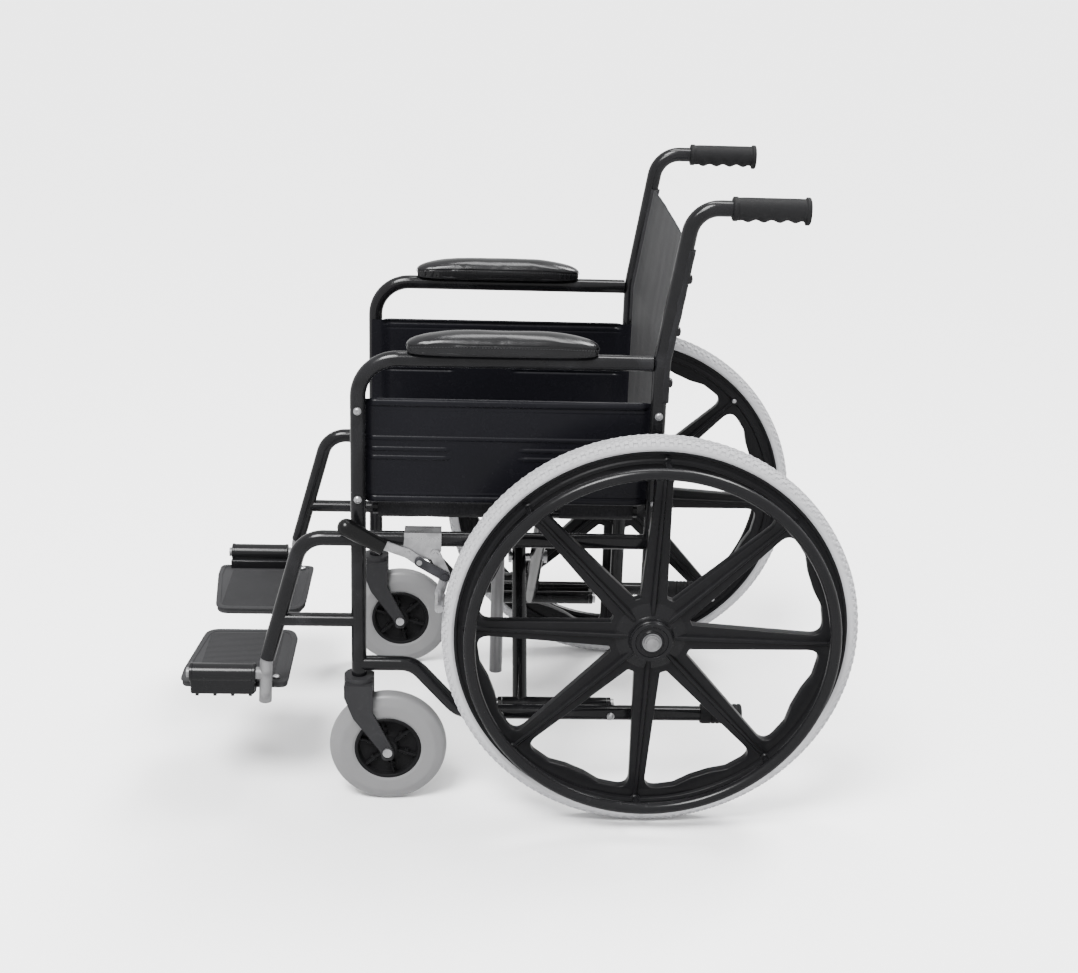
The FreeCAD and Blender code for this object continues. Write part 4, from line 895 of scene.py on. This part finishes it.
# ---------------------------------------------------------------- grips
class CHAIR_OT_push_grips(Maker):
    """Make the push grips with their finger waves, and the ridged rubber tips"""
    bl_idname = "chair.push_grips"
    bl_label = "Push grips"

    def grip_radius(self, share, angle, base):
        """Radius of the grip at a share of its length from the front, and an angle round it."""
        under = max(0.0, -math.sin(angle)) ** 1.5
        held = max(0.0, min(1.0, (share - 0.1) / 0.05, (0.92 - share) / 0.04))
        fingers = 0.5 - 0.5 * math.cos((share - 0.1) / 0.82 * 4 * 2 * math.pi)
        radius = base + held * (under * (3.4 * fingers - 1.2) * MM)
        pebble = math.sin(share * 190) * math.sin(angle * 34)
        radius += held * max(0.0, math.sin(angle) + 0.4) * 0.32 * MM * pebble
        if share < 0.07:
            radius += 1.1 * MM * min(1.0, (0.07 - share) / 0.012)
        if share > 0.93:
            radius += (2.2 + 2.6 * under) * MM * min(1.0, (share - 0.93) / 0.02)
        return radius

    def execute(self, context):
        low, high = BOXES["left_push_grip"]
        centre = (low + high) / 2
        reach = high.x - low.x
        base = 15.5 * MM
        rings, spokes = 180, 96
        sections = []
        for index in range(rings + 1):
            share = index / rings
            edge = min(share, 1 - share) * reach
            pull = 1.6 * MM * (1 - min(1.0, edge / (1.6 * MM))) ** 2
            ring = []
            for spoke in range(spokes):
                angle = 2 * math.pi * spoke / spokes
                radius = self.grip_radius(share, angle, base) - pull
                ring.append((high.x - reach * share, centre.y + radius * math.cos(angle),
                             centre.z + radius * math.sin(angle)))
            sections.append(ring)
        grip = loft("push_grip", sections, "grip_rubber")
        grip = sharpened(grip, 50)
        both(grip, "wavy_push_grip", "frame", "grip_rubber", "push_grip")
        low, high = BOXES["left_tip_cap"]
        centre = (low + high) / 2
        wide = (high.z - low.z) / 2
        profile = [(0.01 * MM, 0), (wide - 1.5 * MM, 0), (wide, 1.5 * MM)]
        at = 5.0
        while at < (high.x - low.x) / MM - 12:
            profile += [(wide, at * MM), (wide - 0.9 * MM, (at + 0.8) * MM),
                        (wide - 0.9 * MM, (at + 2.2) * MM), (wide, (at + 3) * MM)]
            at += 6.5
        profile += [(wide, high.x - low.x - 3 * MM), (wide - 1 * MM, high.x - low.x),
                    (0.01 * MM, high.x - low.x)]
        tip = turned_about("tip_cap", profile, (low.x, centre.y, centre.z), "grip_rubber", "X", 48)
        both(sharpened(tip, 40), "ridged_tip", "frame", "grip_rubber", "tip_cap")
        return {"FINISHED"}


# ---------------------------------------------------------------- arm pads
class CHAIR_OT_arm_pads(Maker):
    """Make the padded arm rests: a stuffed vinyl cover, its seam and stitches"""
    bl_idname = "chair.arm_pads"
    bl_label = "Arm pads"

    seam_share = 0.56
    voxel = 4.2 * MM

    def plan(self, inset, low, high, steps=88):
        """Outline of the pad from above, with round ends, pulled in by inset."""
        centre = (low + high) / 2
        long, wide = (high.x - low.x) / 2 - inset, (high.y - low.y) / 2 - inset
        points = []
        for index in range(steps):
            angle = 2 * math.pi * index / steps
            across, along = math.sin(angle), math.cos(angle)
            x = math.copysign(abs(along) ** 0.5, along) * long
            y = math.copysign(abs(across) ** 0.7, across) * wide
            points.append((centre.x + x, centre.y + y))
        return points

    def crowned(self, spot, low, high):
        """Height of a spot on the pad once its ends slope down to the board."""
        centre = (low + high) / 2
        end = max(0.0, abs(spot[0] - centre.x) / (high.x - centre.x) - 0.42) / 0.58
        side = (spot[1] - centre.y) / (high.y - centre.y)
        return low.z + (spot[2] - low.z) * (1 - 0.42 * end ** 2) * (1 - 0.1 * side ** 2)

    def swollen(self, made, low, most):
        """Stuffs the cover with cloth simulation, its base held, and applies the result."""
        made = modify(made, "REMESH", mode="VOXEL", voxel_size=self.voxel)
        rest = [vert.co.copy() for vert in made.data.vertices]
        group = made.vertex_groups.new(name="base")
        group.add([v.index for v in made.data.vertices if v.co.z < low.z + 3 * MM], 1.0, "REPLACE")
        cloth = made.modifiers.new("Cloth", "CLOTH")
        cloth.settings.use_pressure = True
        cloth.settings.uniform_pressure_force = 4.0
        cloth.settings.vertex_group_mass = "base"
        cloth.settings.effector_weights.gravity = 0.0
        cloth.settings.quality = 5
        for step in range(1, 21):
            bpy.context.scene.frame_set(step)
        made = solid(made)
        bpy.context.scene.frame_set(1)
        for vert, start in zip(made.data.vertices, rest):
            move = vert.co - start
            if move.length > most:
                vert.co = start + move.normalized() * most
        made.vertex_groups.clear()
        return made

    def execute(self, context):
        sizes = context.scene.chair_soft
        low, high = BOXES["left_arm_pad"]
        tall = high.z - low.z
        levels = [(0.0, 4.0), (0.04, 2.6), (0.2, 2.2), (0.5, 2.0), (0.66, 2.4), (0.8, 4.6), (0.91, 9.0),
                  (0.97, 16.0)]
        sections = []
        for share, inset in levels:
            height = low.z + tall * share * 0.95
            sections.append([(x, y, height) for x, y in self.plan(inset * MM, low, high)])
        pad = loft("arm_pad", sections, "vinyl")
        pad = self.swollen(pad, low, sizes.pad_swell)
        pad = modify(pad, "SUBSURF", levels=1, render_levels=1)
        pad = modify(pad, "SMOOTH", factor=0.5, iterations=3)
        pad = modify(pad, "SUBSURF", levels=1, render_levels=1)
        centre = (low + high) / 2
        seam = low.z + tall * self.seam_share
        half_long = (high.x - low.x) / 2
        outward = [Vector((vert.normal.x, vert.normal.y, 0)) for vert in pad.data.vertices]
        for vert, out in zip(pad.data.vertices, outward):
            above = vert.co.z - seam
            groove = math.exp(-(above / (1.1 * MM)) ** 2)
            panel = max(0.0, min(1.0, -above / (3 * MM))) * (1 if vert.co.z > low.z + 3 * MM else 0.4)
            end = max(0.0, (abs(vert.co.x - centre.x) / half_long - 0.66) / 0.34)
            pleat = noise.noise(Vector((vert.co.x * 240, vert.co.y * 240,
                                        vert.co.z * 46))) * (0.25 + 1.5 * end)
            dip = noise.noise(Vector((vert.co.x * 26, vert.co.y * 40, 3.7)))
            vert.co -= out * (groove * 1.7 * MM + panel * 1.5 * MM - panel * pleat * 1.1 * MM)
            if above > 0:
                vert.co.z += dip * 0.7 * MM * (1 - end)
                vert.co.z = min(vert.co.z, high.z + 1.2 * MM)
            vert.co.z = self.crowned(vert.co, low, high)
            vert.co.z = max(vert.co.z, low.z)
        pad.data.polygons.foreach_set("use_smooth", [True] * len(pad.data.polygons))
        pad.data.update()
        base = self.board(low, high)
        left, right = both(pad, "stuffed_arm_pad", "frame", "pad_vinyl", "arm_pad")
        both(base, "arm_pad_board", "frame", "pad_vinyl")
        line = self.plan(2.4 * MM, low, high, 120)
        curve = bpy.data.curves.new("seam_line", "CURVE")
        curve.dimensions = "3D"
        spline = curve.splines.new("POLY")
        spline.points.add(len(line) - 1)
        spline.use_cyclic_u = True
        for point, (x, y) in zip(spline.points, line):
            point.co = (x, y, self.crowned((x, y, seam - 2.6 * MM), low, high), 1)
        path = bpy.data.objects.new("seam_line", curve)
        context.collection.objects.link(path)
        thread = turned_about("thread", [(0.01 * MM, -1.3 * MM), (0.42 * MM, -0.9 * MM),
                                         (0.42 * MM, 0.9 * MM), (0.01 * MM, 1.3 * MM)],
                              (0, 0, 0), "thread", "X", 6)
        stitches = copies("stitches", "path", "thread", Copy=thread, Path=path, Spacing=sizes.stitch_gap)
        both(stitches, "arm_pad_stitches", "frame", "pad_vinyl")
        return {"FINISHED"}

    def board(self, low, high):
        """The moulded board under the pad."""
        outline = self.plan(4.5 * MM, low, high, 64)
        plate = flat_plate("pad_board", [outline], 4 * MM, 1 * MM, "barrel_plastic")
        plate.data.transform(Matrix.Translation((0, 0, low.z + 1.9 * MM)))
        return plate


# ---------------------------------------------------------------- slings
class CHAIR_OT_slings(Maker):
    """Make the seat and back slings: sheets and sleeves on the tubes"""
    bl_idname = "chair.slings"
    bl_label = "Slings"

    tube = 11.1 * MM
    thick = 1.6 * MM
    seat_keep, back_keep = 0.197, 0.245
    behind = 3.5 * MM

    def cloth(self, name, grid, look):
        """A sheet through a grid of points, with its thickness."""
        rows, columns = len(grid), len(grid[0])
        verts = [point for row in grid for point in row]
        faces = [(r * columns + c, r * columns + c + 1, (r + 1) * columns + c + 1, (r + 1) * columns + c)
                 for r in range(rows - 1) for c in range(columns - 1)]
        made = piece(name, verts, faces, look)
        return modify(made, "SOLIDIFY", thickness=self.thick, offset=0.0, use_rim=True)

    def length_of(self, line):
        return sum((Vector(b) - Vector(a)).length for a, b in zip(line, line[1:]))

    def back(self):
        low, high = BOXES["back_sling"]
        edge = 216 * MM
        bottom, top = low.z, high.z
        rows, columns = 72, 60
        grid = []
        for row in range(rows + 1):
            height = bottom + (top - bottom) * row / rows
            line = []
            for column in range(columns + 1):
                y = -edge + 2 * edge * column / columns
                across = 1 - (y / edge) ** 2
                up = (height - bottom) / (top - bottom)
                billow = -9 * MM * across ** 0.8 * (0.35 + 0.65 * math.sin(math.pi * min(1.0, up * 0.9)))
                pull = noise.noise(Vector((y * 5, height * 14, 1.3))) * 2.2 * MM * across
                crease = noise.noise(Vector((y * 26, height * 5.5, 8.1))) * 0.9 * MM * across ** 0.5
                drop = 2.5 * MM * across * (1 if row == rows else up ** 8)
                line.append((post_x(height) - 3 * MM + billow + pull + crease, y, height - drop))
            grid.append(line)
        width = self.length_of(grid[rows // 2])
        tall = self.length_of([line[columns // 2] for line in grid])
        return self.cloth("back_sheet", grid, "back_fabric"), width, tall

    def sleeve(self, name, body, side, centres, sheet_at, look, outside):
        """Fabric wrapped round a tube, with a tail towards the sheet."""
        around = 40
        sections = []
        for index, (spot, up) in enumerate(centres):
            inward = Vector((0, -side, 0))
            out = up.cross(inward).normalized()
            ring = []
            for step in range(around):
                angle = 2 * math.pi * step / around
                ripple = noise.noise(Vector((math.cos(angle) * 2, math.sin(angle) * 2,
                                             index * 0.35 + side))) * 0.7 * MM
                reach = outside + ripple
                toward = max(0.0, math.cos(angle - sheet_at))
                stretch = 9 * MM * toward ** 14
                aside = inward * (math.cos(angle) * (reach + stretch))
                ring.append(spot + aside + out * (math.sin(angle) * (reach + stretch * 0.2)))
            sections.append(ring)
        inner = [[spot + (point - spot).normalized() * (outside - self.thick) for point in ring]
                 for (spot, _), ring in zip(centres, sections)]
        count = len(sections)
        verts = [point for ring in sections + inner for point in ring]
        faces = []
        for layer in (0, 1):
            for row in range(count - 1):
                for step in range(around):
                    near = (step + 1) % around
                    a = (layer * count + row) * around
                    faces.append((a + step, a + near, a + around + near,
                                  a + around + step)[::1 if layer == 0 else -1])
        for row in (0, count - 1):
            for step in range(around):
                near = (step + 1) % around
                a, b = row * around, (count + row) * around
                faces.append((a + step, a + near, b + near, b + step))
        made = tidy(piece(name, verts, faces, look))
        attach(made, body)
        return made

    def execute(self, context):
        sizes = context.scene.chair_soft
        half = HALF_SPACING
        back, width, tall = self.back()
        top = BOXES["back_sling"][1].z
        for side, sign in SIDES:
            centres = []
            for index in range(37):
                height = 632 * MM + (top - 632 * MM) * index / 36
                spot = Vector((post_x(height) - self.behind, sign * half, height))
                above = Vector((post_x(height + MM) - self.behind, sign * half, height + MM))
                centres.append((spot, (above - spot).normalized()))
            self.sleeve(f"{side}_back_sleeve", f"{side}_frame", sign, centres, 0.0,
                                       "back_fabric", self.tube - 0.6 * MM)
        back.name = "back_sling_sheet"
        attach(back, "left_frame")
        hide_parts("back_sling")
        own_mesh(back)
        low, high = BOXES["seat_sling"]
        edge = 202 * MM
        rows, columns = 64, 56
        grid = []
        for row in range(rows + 1):
            x = low.x + (high.x - low.x) * row / rows
            line = []
            for column in range(columns + 1):
                y = -edge + 2 * edge * column / columns
                across = 1 - (y / edge) ** 2
                sag = sizes.sling_sag * across ** 0.9
                crease = noise.noise(Vector((x * 22, y * 5, 5.2))) * 1.6 * MM * across
                line.append((x, y, high.z - self.thick / 2 - sag + crease))
            grid.append(line)
        seat = self.cloth("seat_sling_sheet", grid, "seat_fabric")
        for side, sign in SIDES:
            rail = BOXES[f"{side}_seat_rail"]
            rail_z = rail[1].z - self.tube
            centres = [(Vector((low.x + (high.x - low.x) * i / 40, sign * edge, rail_z)),
                        Vector((1, 0, 0))) for i in range(41)]
            self.sleeve(f"{side}_seat_sleeve", f"{side}_seat_rail", sign, centres,
                                     math.pi / 2 * sign, "seat_fabric", self.tube + 2.1 * MM)
        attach(seat, "left_seat_rail")
        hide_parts("seat_sling")
        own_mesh(seat)
        return {"FINISHED"}


# ---------------------------------------------------------------- skirt guards
class CHAIR_OT_skirt_guards(Maker):
    """Make the side panels with rolled edges and pressed ribs"""
    bl_idname = "chair.skirt_guards"
    bl_label = "Skirt guards"

    def raised(self, along, up, tall):
        """How far the panel stands out at a place, from its front end and its lower edge."""
        out = 0.0
        for edge in (4.0, tall / MM - 4.0):
            out += 3.2 * MM * max(0.0, 1 - ((up / MM - edge) / 4.0) ** 2) ** 0.5
        groove_edge = min(abs(up / MM - 11.5), abs(up / MM - (tall / MM - 13)))
        out += 0.8 * MM * math.exp(-(groove_edge / 1.2) ** 2)
        for rib in (66.0, 79.0, 95.0):
            shape = math.exp(-((up / MM - rib) / 1.7) ** 2)
            front = min(1.0, max(0.0, (134 * MM - along) / (3 * MM))) if rib < 90 else 1.0
            rear = min(1.0, max(0.0, (along - 236 * MM) / (3 * MM))) if rib < 90 else 1.0
            out += 2.0 * MM * shape * min(1.0, front + rear)
        return out

    def execute(self, context):
        low, high = BOXES["left_skirt_guard"]
        reach, tall = high.x - low.x, high.z - low.z
        columns, rows = 96, 150
        post = 11.6 * MM
        outside = high.y - 0.4 * MM
        grid = []
        for row in range(rows + 1):
            up = tall * row / rows
            line = []
            for column in range(columns + 1):
                back = reach * column / columns
                inset = min(back, reach - back)
                near_post = max(0.0, min(1.0, (inset - 8 * MM - post) / (5 * MM)))
                out = self.raised(back, up, tall) * near_post
                wave = noise.noise(Vector((back * 7, up * 5, 2.2))) * 0.7 * MM * near_post
                line.append((high.x - back, outside - 2.6 * MM + 0.2 * MM + out + wave + 3.0 * MM * near_post,
                             low.z + up))
            grid.append(line)
        verts = [point for line in grid for point in line]
        wide = columns + 1
        faces = [(r * wide + c, (r + 1) * wide + c, (r + 1) * wide + c + 1, r * wide + c + 1)
                 for r in range(rows) for c in range(columns)]
        panel = piece("skirt_guard", verts, faces, "guard_plastic")
        panel = modify(panel, "SOLIDIFY", thickness=2.4 * MM, offset=-1.0, use_rim=True)
        panel = tidy(panel)
        both(sharpened(panel, 55), "ribbed_skirt_guard", "frame", "guard_plastic", "skirt_guard")
        return {"FINISHED"}


# ---------------------------------------------------------------- footplates
class CHAIR_OT_footplates(Maker):
    """Make the footplates: ribbed tread, hinge barrel, tabs and screw"""
    bl_idname = "chair.footplates"
    bl_label = "Footplates"

    def execute(self, context):
        low, high = BOXES["left_footplate"]
        deck_top = 183 * MM
        thick = 11 * MM
        corner = 22 * MM
        barrel = 15 * MM
        hinge = Vector(((573 + 669) / 2 * MM - 192.5 * MM, 235 * MM, high.z - barrel))
        outer = hinge.y - 13 * MM
        rear, front, inner = low.x, high.x, low.y
        corners = [(rear, outer), (rear, inner + 30 * MM), (rear + 8 * MM, inner), (front - 15 * MM, inner),
                   (front, outer - 40 * MM), (front, outer)]
        radii = [corner / 2, corner, corner, corner, corner * 2, corner / 2]
        outline = softened_profile(corners, radii, 10)
        plate = flat_plate("deck", [outline], thick, 3 * MM, "plate_plastic")
        plate.data.transform(Matrix.Translation((0, 0, deck_top - thick / 2)))
        parts = [plate]
        inset = 13 * MM
        pitch = 4.4 * MM
        count = int((outer - inner - 2 * inset) / pitch)
        length_x = front - rear - 2 * inset - 16 * MM
        rib = rounded_block("rib", (0, -1.15 * MM, -1 * MM), (length_x, 1.15 * MM, 0.75 * MM), 0.5 * MM,
                            "plate_plastic")
        parts.append(copies("ribs", "row", "plate_plastic", Copy=rib, Count=count,
                            Start=(rear + inset + 8 * MM, inner + inset, deck_top), Step=(0, pitch, 0)))
        rim = softened_profile([(x + (6 * MM if x < 0.37 else -6 * MM),
                                 y + (6 * MM if y < 0.1 else -6 * MM)) for x, y in corners],
                               [r * 0.8 for r in radii], 10)
        edge = flat_plate("deck_rim", [outline_shrunk(outline, 2 * MM), rim[::-1]], 3 * MM, 0.9 * MM,
                          "plate_plastic")
        edge.data.transform(Matrix.Translation((0, 0, deck_top - 0.4 * MM)))
        parts.append(edge)
        half = (669 - 573) / 2 * MM
        flange = [(5.1, -half / MM), (14.2, -half / MM), (15, -half / MM + 0.9), (15, -half / MM + 4),
                  (14.2, -half / MM + 4.8)]
        profile = [(r * MM, x * MM) for r, x in flange] + [(r * MM, -x * MM) for r, x in flange[::-1]]
        parts.append(sharpened(turned_about("barrel", profile, hinge, "barrel_plastic", "X", 64), 40))
        parts.append(rounded_block("skirt", (hinge.x - half, hinge.y - 25 * MM, deck_top - thick),
                                   (hinge.x + half, hinge.y + 3 * MM,
                                    hinge.z - 6 * MM), 2 * MM, "barrel_plastic"))
        parts.append(rounded_block("web", (hinge.x - half + 1 * MM, hinge.y - 2 * MM,
                                           deck_top - thick + 1 * MM),
                                   (hinge.x + half - 1 * MM, hinge.y + 12 * MM,
                                    hinge.z - 4 * MM), 3 * MM, "barrel_plastic"))
        tab = rounded_block("tab", (-2.5 * MM, -1.8 * MM, -4.5 * MM), (2.5 * MM, 1.8 * MM, 2 * MM), 0.8 * MM,
                            "barrel_plastic")
        parts.append(copies("tabs", "row", "barrel_plastic", Copy=tab, Count=4,
                            Start=(hinge.x - half + 8 * MM, hinge.y + 6 * MM,
                                   deck_top - thick + 1 * MM), Step=(26 * MM, 0, 0)))
        both(joined("footplate", *parts), "ribbed_footplate", "footplate", "footplate_plastic", "footplate")
        screw = turned_about("plate_screw", [(0.01 * MM, 0), (3.4 * MM, 0), (5.4 * MM, 1 * MM),
                                             (5.4 * MM, 3 * MM), (3.4 * MM, 4.6 * MM),
                                             (0.01 * MM, 4.8 * MM)], (0, 0, 0), "zinc", steps=20)
        screw.data.transform(Matrix.Translation((rear + 17 * MM, outer - 12 * MM,
                                                 deck_top)) @ Matrix.Rotation(math.pi / 2, 4, "X"))
        both(tidy(screw), "plate_screw", "footplate", "zinc_steel")
        return {"FINISHED"}


def outline_shrunk(outline, distance):
    """A closed outline moved inward by distance."""
    count = len(outline)
    moved = []
    for index in range(count):
        before, after = Vector(outline[index - 1]), Vector(outline[(index + 1) % count])
        along = after - before
        if along.length < 1e-9:
            continue
        out = Vector((along.y, -along.x)).normalized()
        moved.append(tuple(Vector(outline[index]) + out * distance))
    return moved


# ---------------------------------------------------------------- small parts
class CHAIR_OT_screws(Maker):
    """Make the domed screw heads on the frame and the buttons on the back posts"""
    bl_idname = "chair.screws"
    bl_label = "Screws"

    front_post_x, rear_post_x = 0.2285, -0.1925
    guard_top_z, guard_foot_z, lower_rail_z = 0.614, 0.483, 0.144
    button_heights = (0.66, 0.734, 0.808)
    behind_post = 14.6 * MM

    def execute(self, context):
        face = BOXES["left_frame_fasteners"][1].y
        spots = [(post, height) for post in (self.front_post_x, self.rear_post_x)
                 for height in (self.guard_top_z, self.guard_foot_z)]
        spots += [(self.rear_post_x, 0.4422), (-0.146, self.lower_rail_z), (0.019, self.lower_rail_z)]
        heads = []
        for index, (x, z) in enumerate(spots):
            profile = [(0.01 * MM, -0.4 * MM), (5.1 * MM, -0.4 * MM), (4.7 * MM, 0.9 * MM),
                       (3.2 * MM, 1.9 * MM), (1.7 * MM, 2.1 * MM),
                       (1.4 * MM, 0.8 * MM), (0.01 * MM, 0.8 * MM)]
            heads.append(turned_about(f"head_{index}", profile, (x, face, z), "zinc", steps=24))
        both(sharpened(joined("heads", *heads), 50), "domed_screw_heads", "frame", "zinc_steel")
        buttons = []
        for index, height in enumerate(self.button_heights):
            x = post_x(height) - self.behind_post
            profile = [(0.01 * MM, -3 * MM), (7 * MM, -3 * MM), (7 * MM, 0.6 * MM), (5.4 * MM, 2.6 * MM),
                       (2 * MM, 3.6 * MM),
                       (0.01 * MM, 3.6 * MM)]
            button = turned_about(f"button_{index}", profile, (0, 0, 0), "barrel_plastic", "X", 24)
            button.data.transform(Matrix.Translation((x, HALF_SPACING, height)) @ Matrix.Rotation(math.pi, 4,
                                                                                                  "Z"))
            buttons.append(button)
        both(sharpened(joined("buttons", *buttons), 50), "back_post_buttons", "frame", "black_steel")
        return {"FINISHED"}


# ---------------------------------------------------------------- stage
class CHAIR_OT_stage(Maker):
    """Make the floor, the soft lights and the camera"""
    bl_idname = "chair.stage"
    bl_label = "Floor, lights and camera"

    floor_reach = 40.0
    camera_place = (0.0823, 2.487, 1.3164)
    camera_lens, camera_sensor = 56.17, 36
    camera_angles = (-2.81, 19.846, 1.901)          # yaw, pitch and roll, in degrees
    sun_width = math.radians(24)
    sky_strength = 1.2

    def softbox(self, name, place, aim, size, power):
        data = bpy.data.lights.new(name, "AREA")
        data.shape = "RECTANGLE"
        data.size, data.size_y = size
        data.energy = power
        lamp = bpy.data.objects.new(name, data)
        bpy.context.collection.objects.link(lamp)
        lamp.location = place
        lamp.rotation_euler = (Vector(aim) - Vector(place)).to_track_quat("-Z", "Y").to_euler()

    def sun(self, name, towards, strength):
        data = bpy.data.lights.new(name, "SUN")
        data.energy = strength
        data.angle = self.sun_width
        lamp = bpy.data.objects.new(name, data)
        bpy.context.collection.objects.link(lamp)
        lamp.rotation_euler = Vector(towards).to_track_quat("Z", "Y").to_euler()

    def execute(self, context):
        scene = context.scene
        reach = self.floor_reach
        floor = piece("floor", [(-reach, -reach, 0), (reach, -reach, 0), (reach, reach, 0),
                                (-reach, reach, 0)],
                      [(0, 1, 2, 3)], "floor", False)
        floor.visible_glossy = False
        world = bpy.data.worlds.new("Studio")
        scene.world = world
        world.use_nodes = True
        world.node_tree.nodes["Background"].inputs["Color"].default_value = (1, 1, 1, 1)
        world.node_tree.nodes["Background"].inputs["Strength"].default_value = self.sky_strength
        self.sun("high sun", (0.35, 0.5, 1.0), 6.0)
        self.sun("rear sun", (-0.6, -0.5, 1.0), 4.6)
        self.softbox("key", (0.9, 1.9, 2.6), (0, 0.1, 0.4), (1.2, 0.7), 60)
        self.softbox("over", (-0.3, -0.3, 3.0), (0, 0, 0.4), (1.6, 0.5), 50)
        data = bpy.data.cameras.new("camera")
        data.sensor_width = self.camera_sensor
        data.lens = self.camera_lens
        camera = bpy.data.objects.new("camera", data)
        context.collection.objects.link(camera)
        yaw, pitch, roll = (math.radians(angle) for angle in self.camera_angles)
        turn = Matrix.Rotation(yaw, 3, "Z")
        forward, right, up = turn @ Vector((0, -1, 0)), turn @ Vector((-1, 0, 0)), Vector((0, 0, 1))
        forward, up = (forward * math.cos(pitch) - up * math.sin(pitch),
                       up * math.cos(pitch) + forward * math.sin(pitch))
        right, up = right * math.cos(roll) + up * math.sin(roll), up * math.cos(roll) - right * math.sin(roll)
        frame_axes = Matrix((right, up, -forward)).transposed().to_4x4()
        camera.matrix_world = Matrix.Translation(self.camera_place) @ frame_axes
        scene.camera = camera
        return {"FINISHED"}


MAKERS = (CHAIR_OT_finishes, CHAIR_OT_rear_tyres, CHAIR_OT_rear_wheels, CHAIR_OT_castors, CHAIR_OT_push_grips,
          CHAIR_OT_arm_pads, CHAIR_OT_slings, CHAIR_OT_skirt_guards, CHAIR_OT_footplates, CHAIR_OT_screws,
          CHAIR_OT_stage)


class CHAIR_PT_panel(bpy.types.Panel):
    """Sizes, colours and the steps that make the wheelchair"""
    bl_idname = "CHAIR_PT_panel"
    bl_label = "Wheelchair"
    bl_space_type = "VIEW_3D"
    bl_region_type = "UI"
    bl_category = "Wheelchair"

    def draw(self, context):
        scene = context.scene
        for group in (scene.chair_wheels, scene.chair_soft, scene.chair_colours):
            box = self.layout.box()
            for name in group.bl_rna.properties.keys():
                if name not in ("rna_type", "name"):
                    box.prop(group, name)
        for maker in MAKERS:
            self.layout.operator(maker.bl_idname)


GROUPS = (("chair_wheels", WheelSizes), ("chair_soft", SoftSizes), ("chair_colours", Colours))


def register():
    for name, group in GROUPS:
        bpy.utils.register_class(group)
        setattr(bpy.types.Scene, name, bpy.props.PointerProperty(type=group))
    for kind in (*MAKERS, CHAIR_PT_panel):
        bpy.utils.register_class(kind)


def unregister():
    for kind in reversed((*MAKERS, CHAIR_PT_panel)):
        bpy.utils.unregister_class(kind)
    for name, group in reversed(GROUPS):
        delattr(bpy.types.Scene, name)
        bpy.utils.unregister_class(group)


def main():
    register()
    for maker in MAKERS:
        family, name = maker.bl_idname.split(".")
        getattr(getattr(bpy.ops, family), name)()


if __name__ == "__main__":
    main()
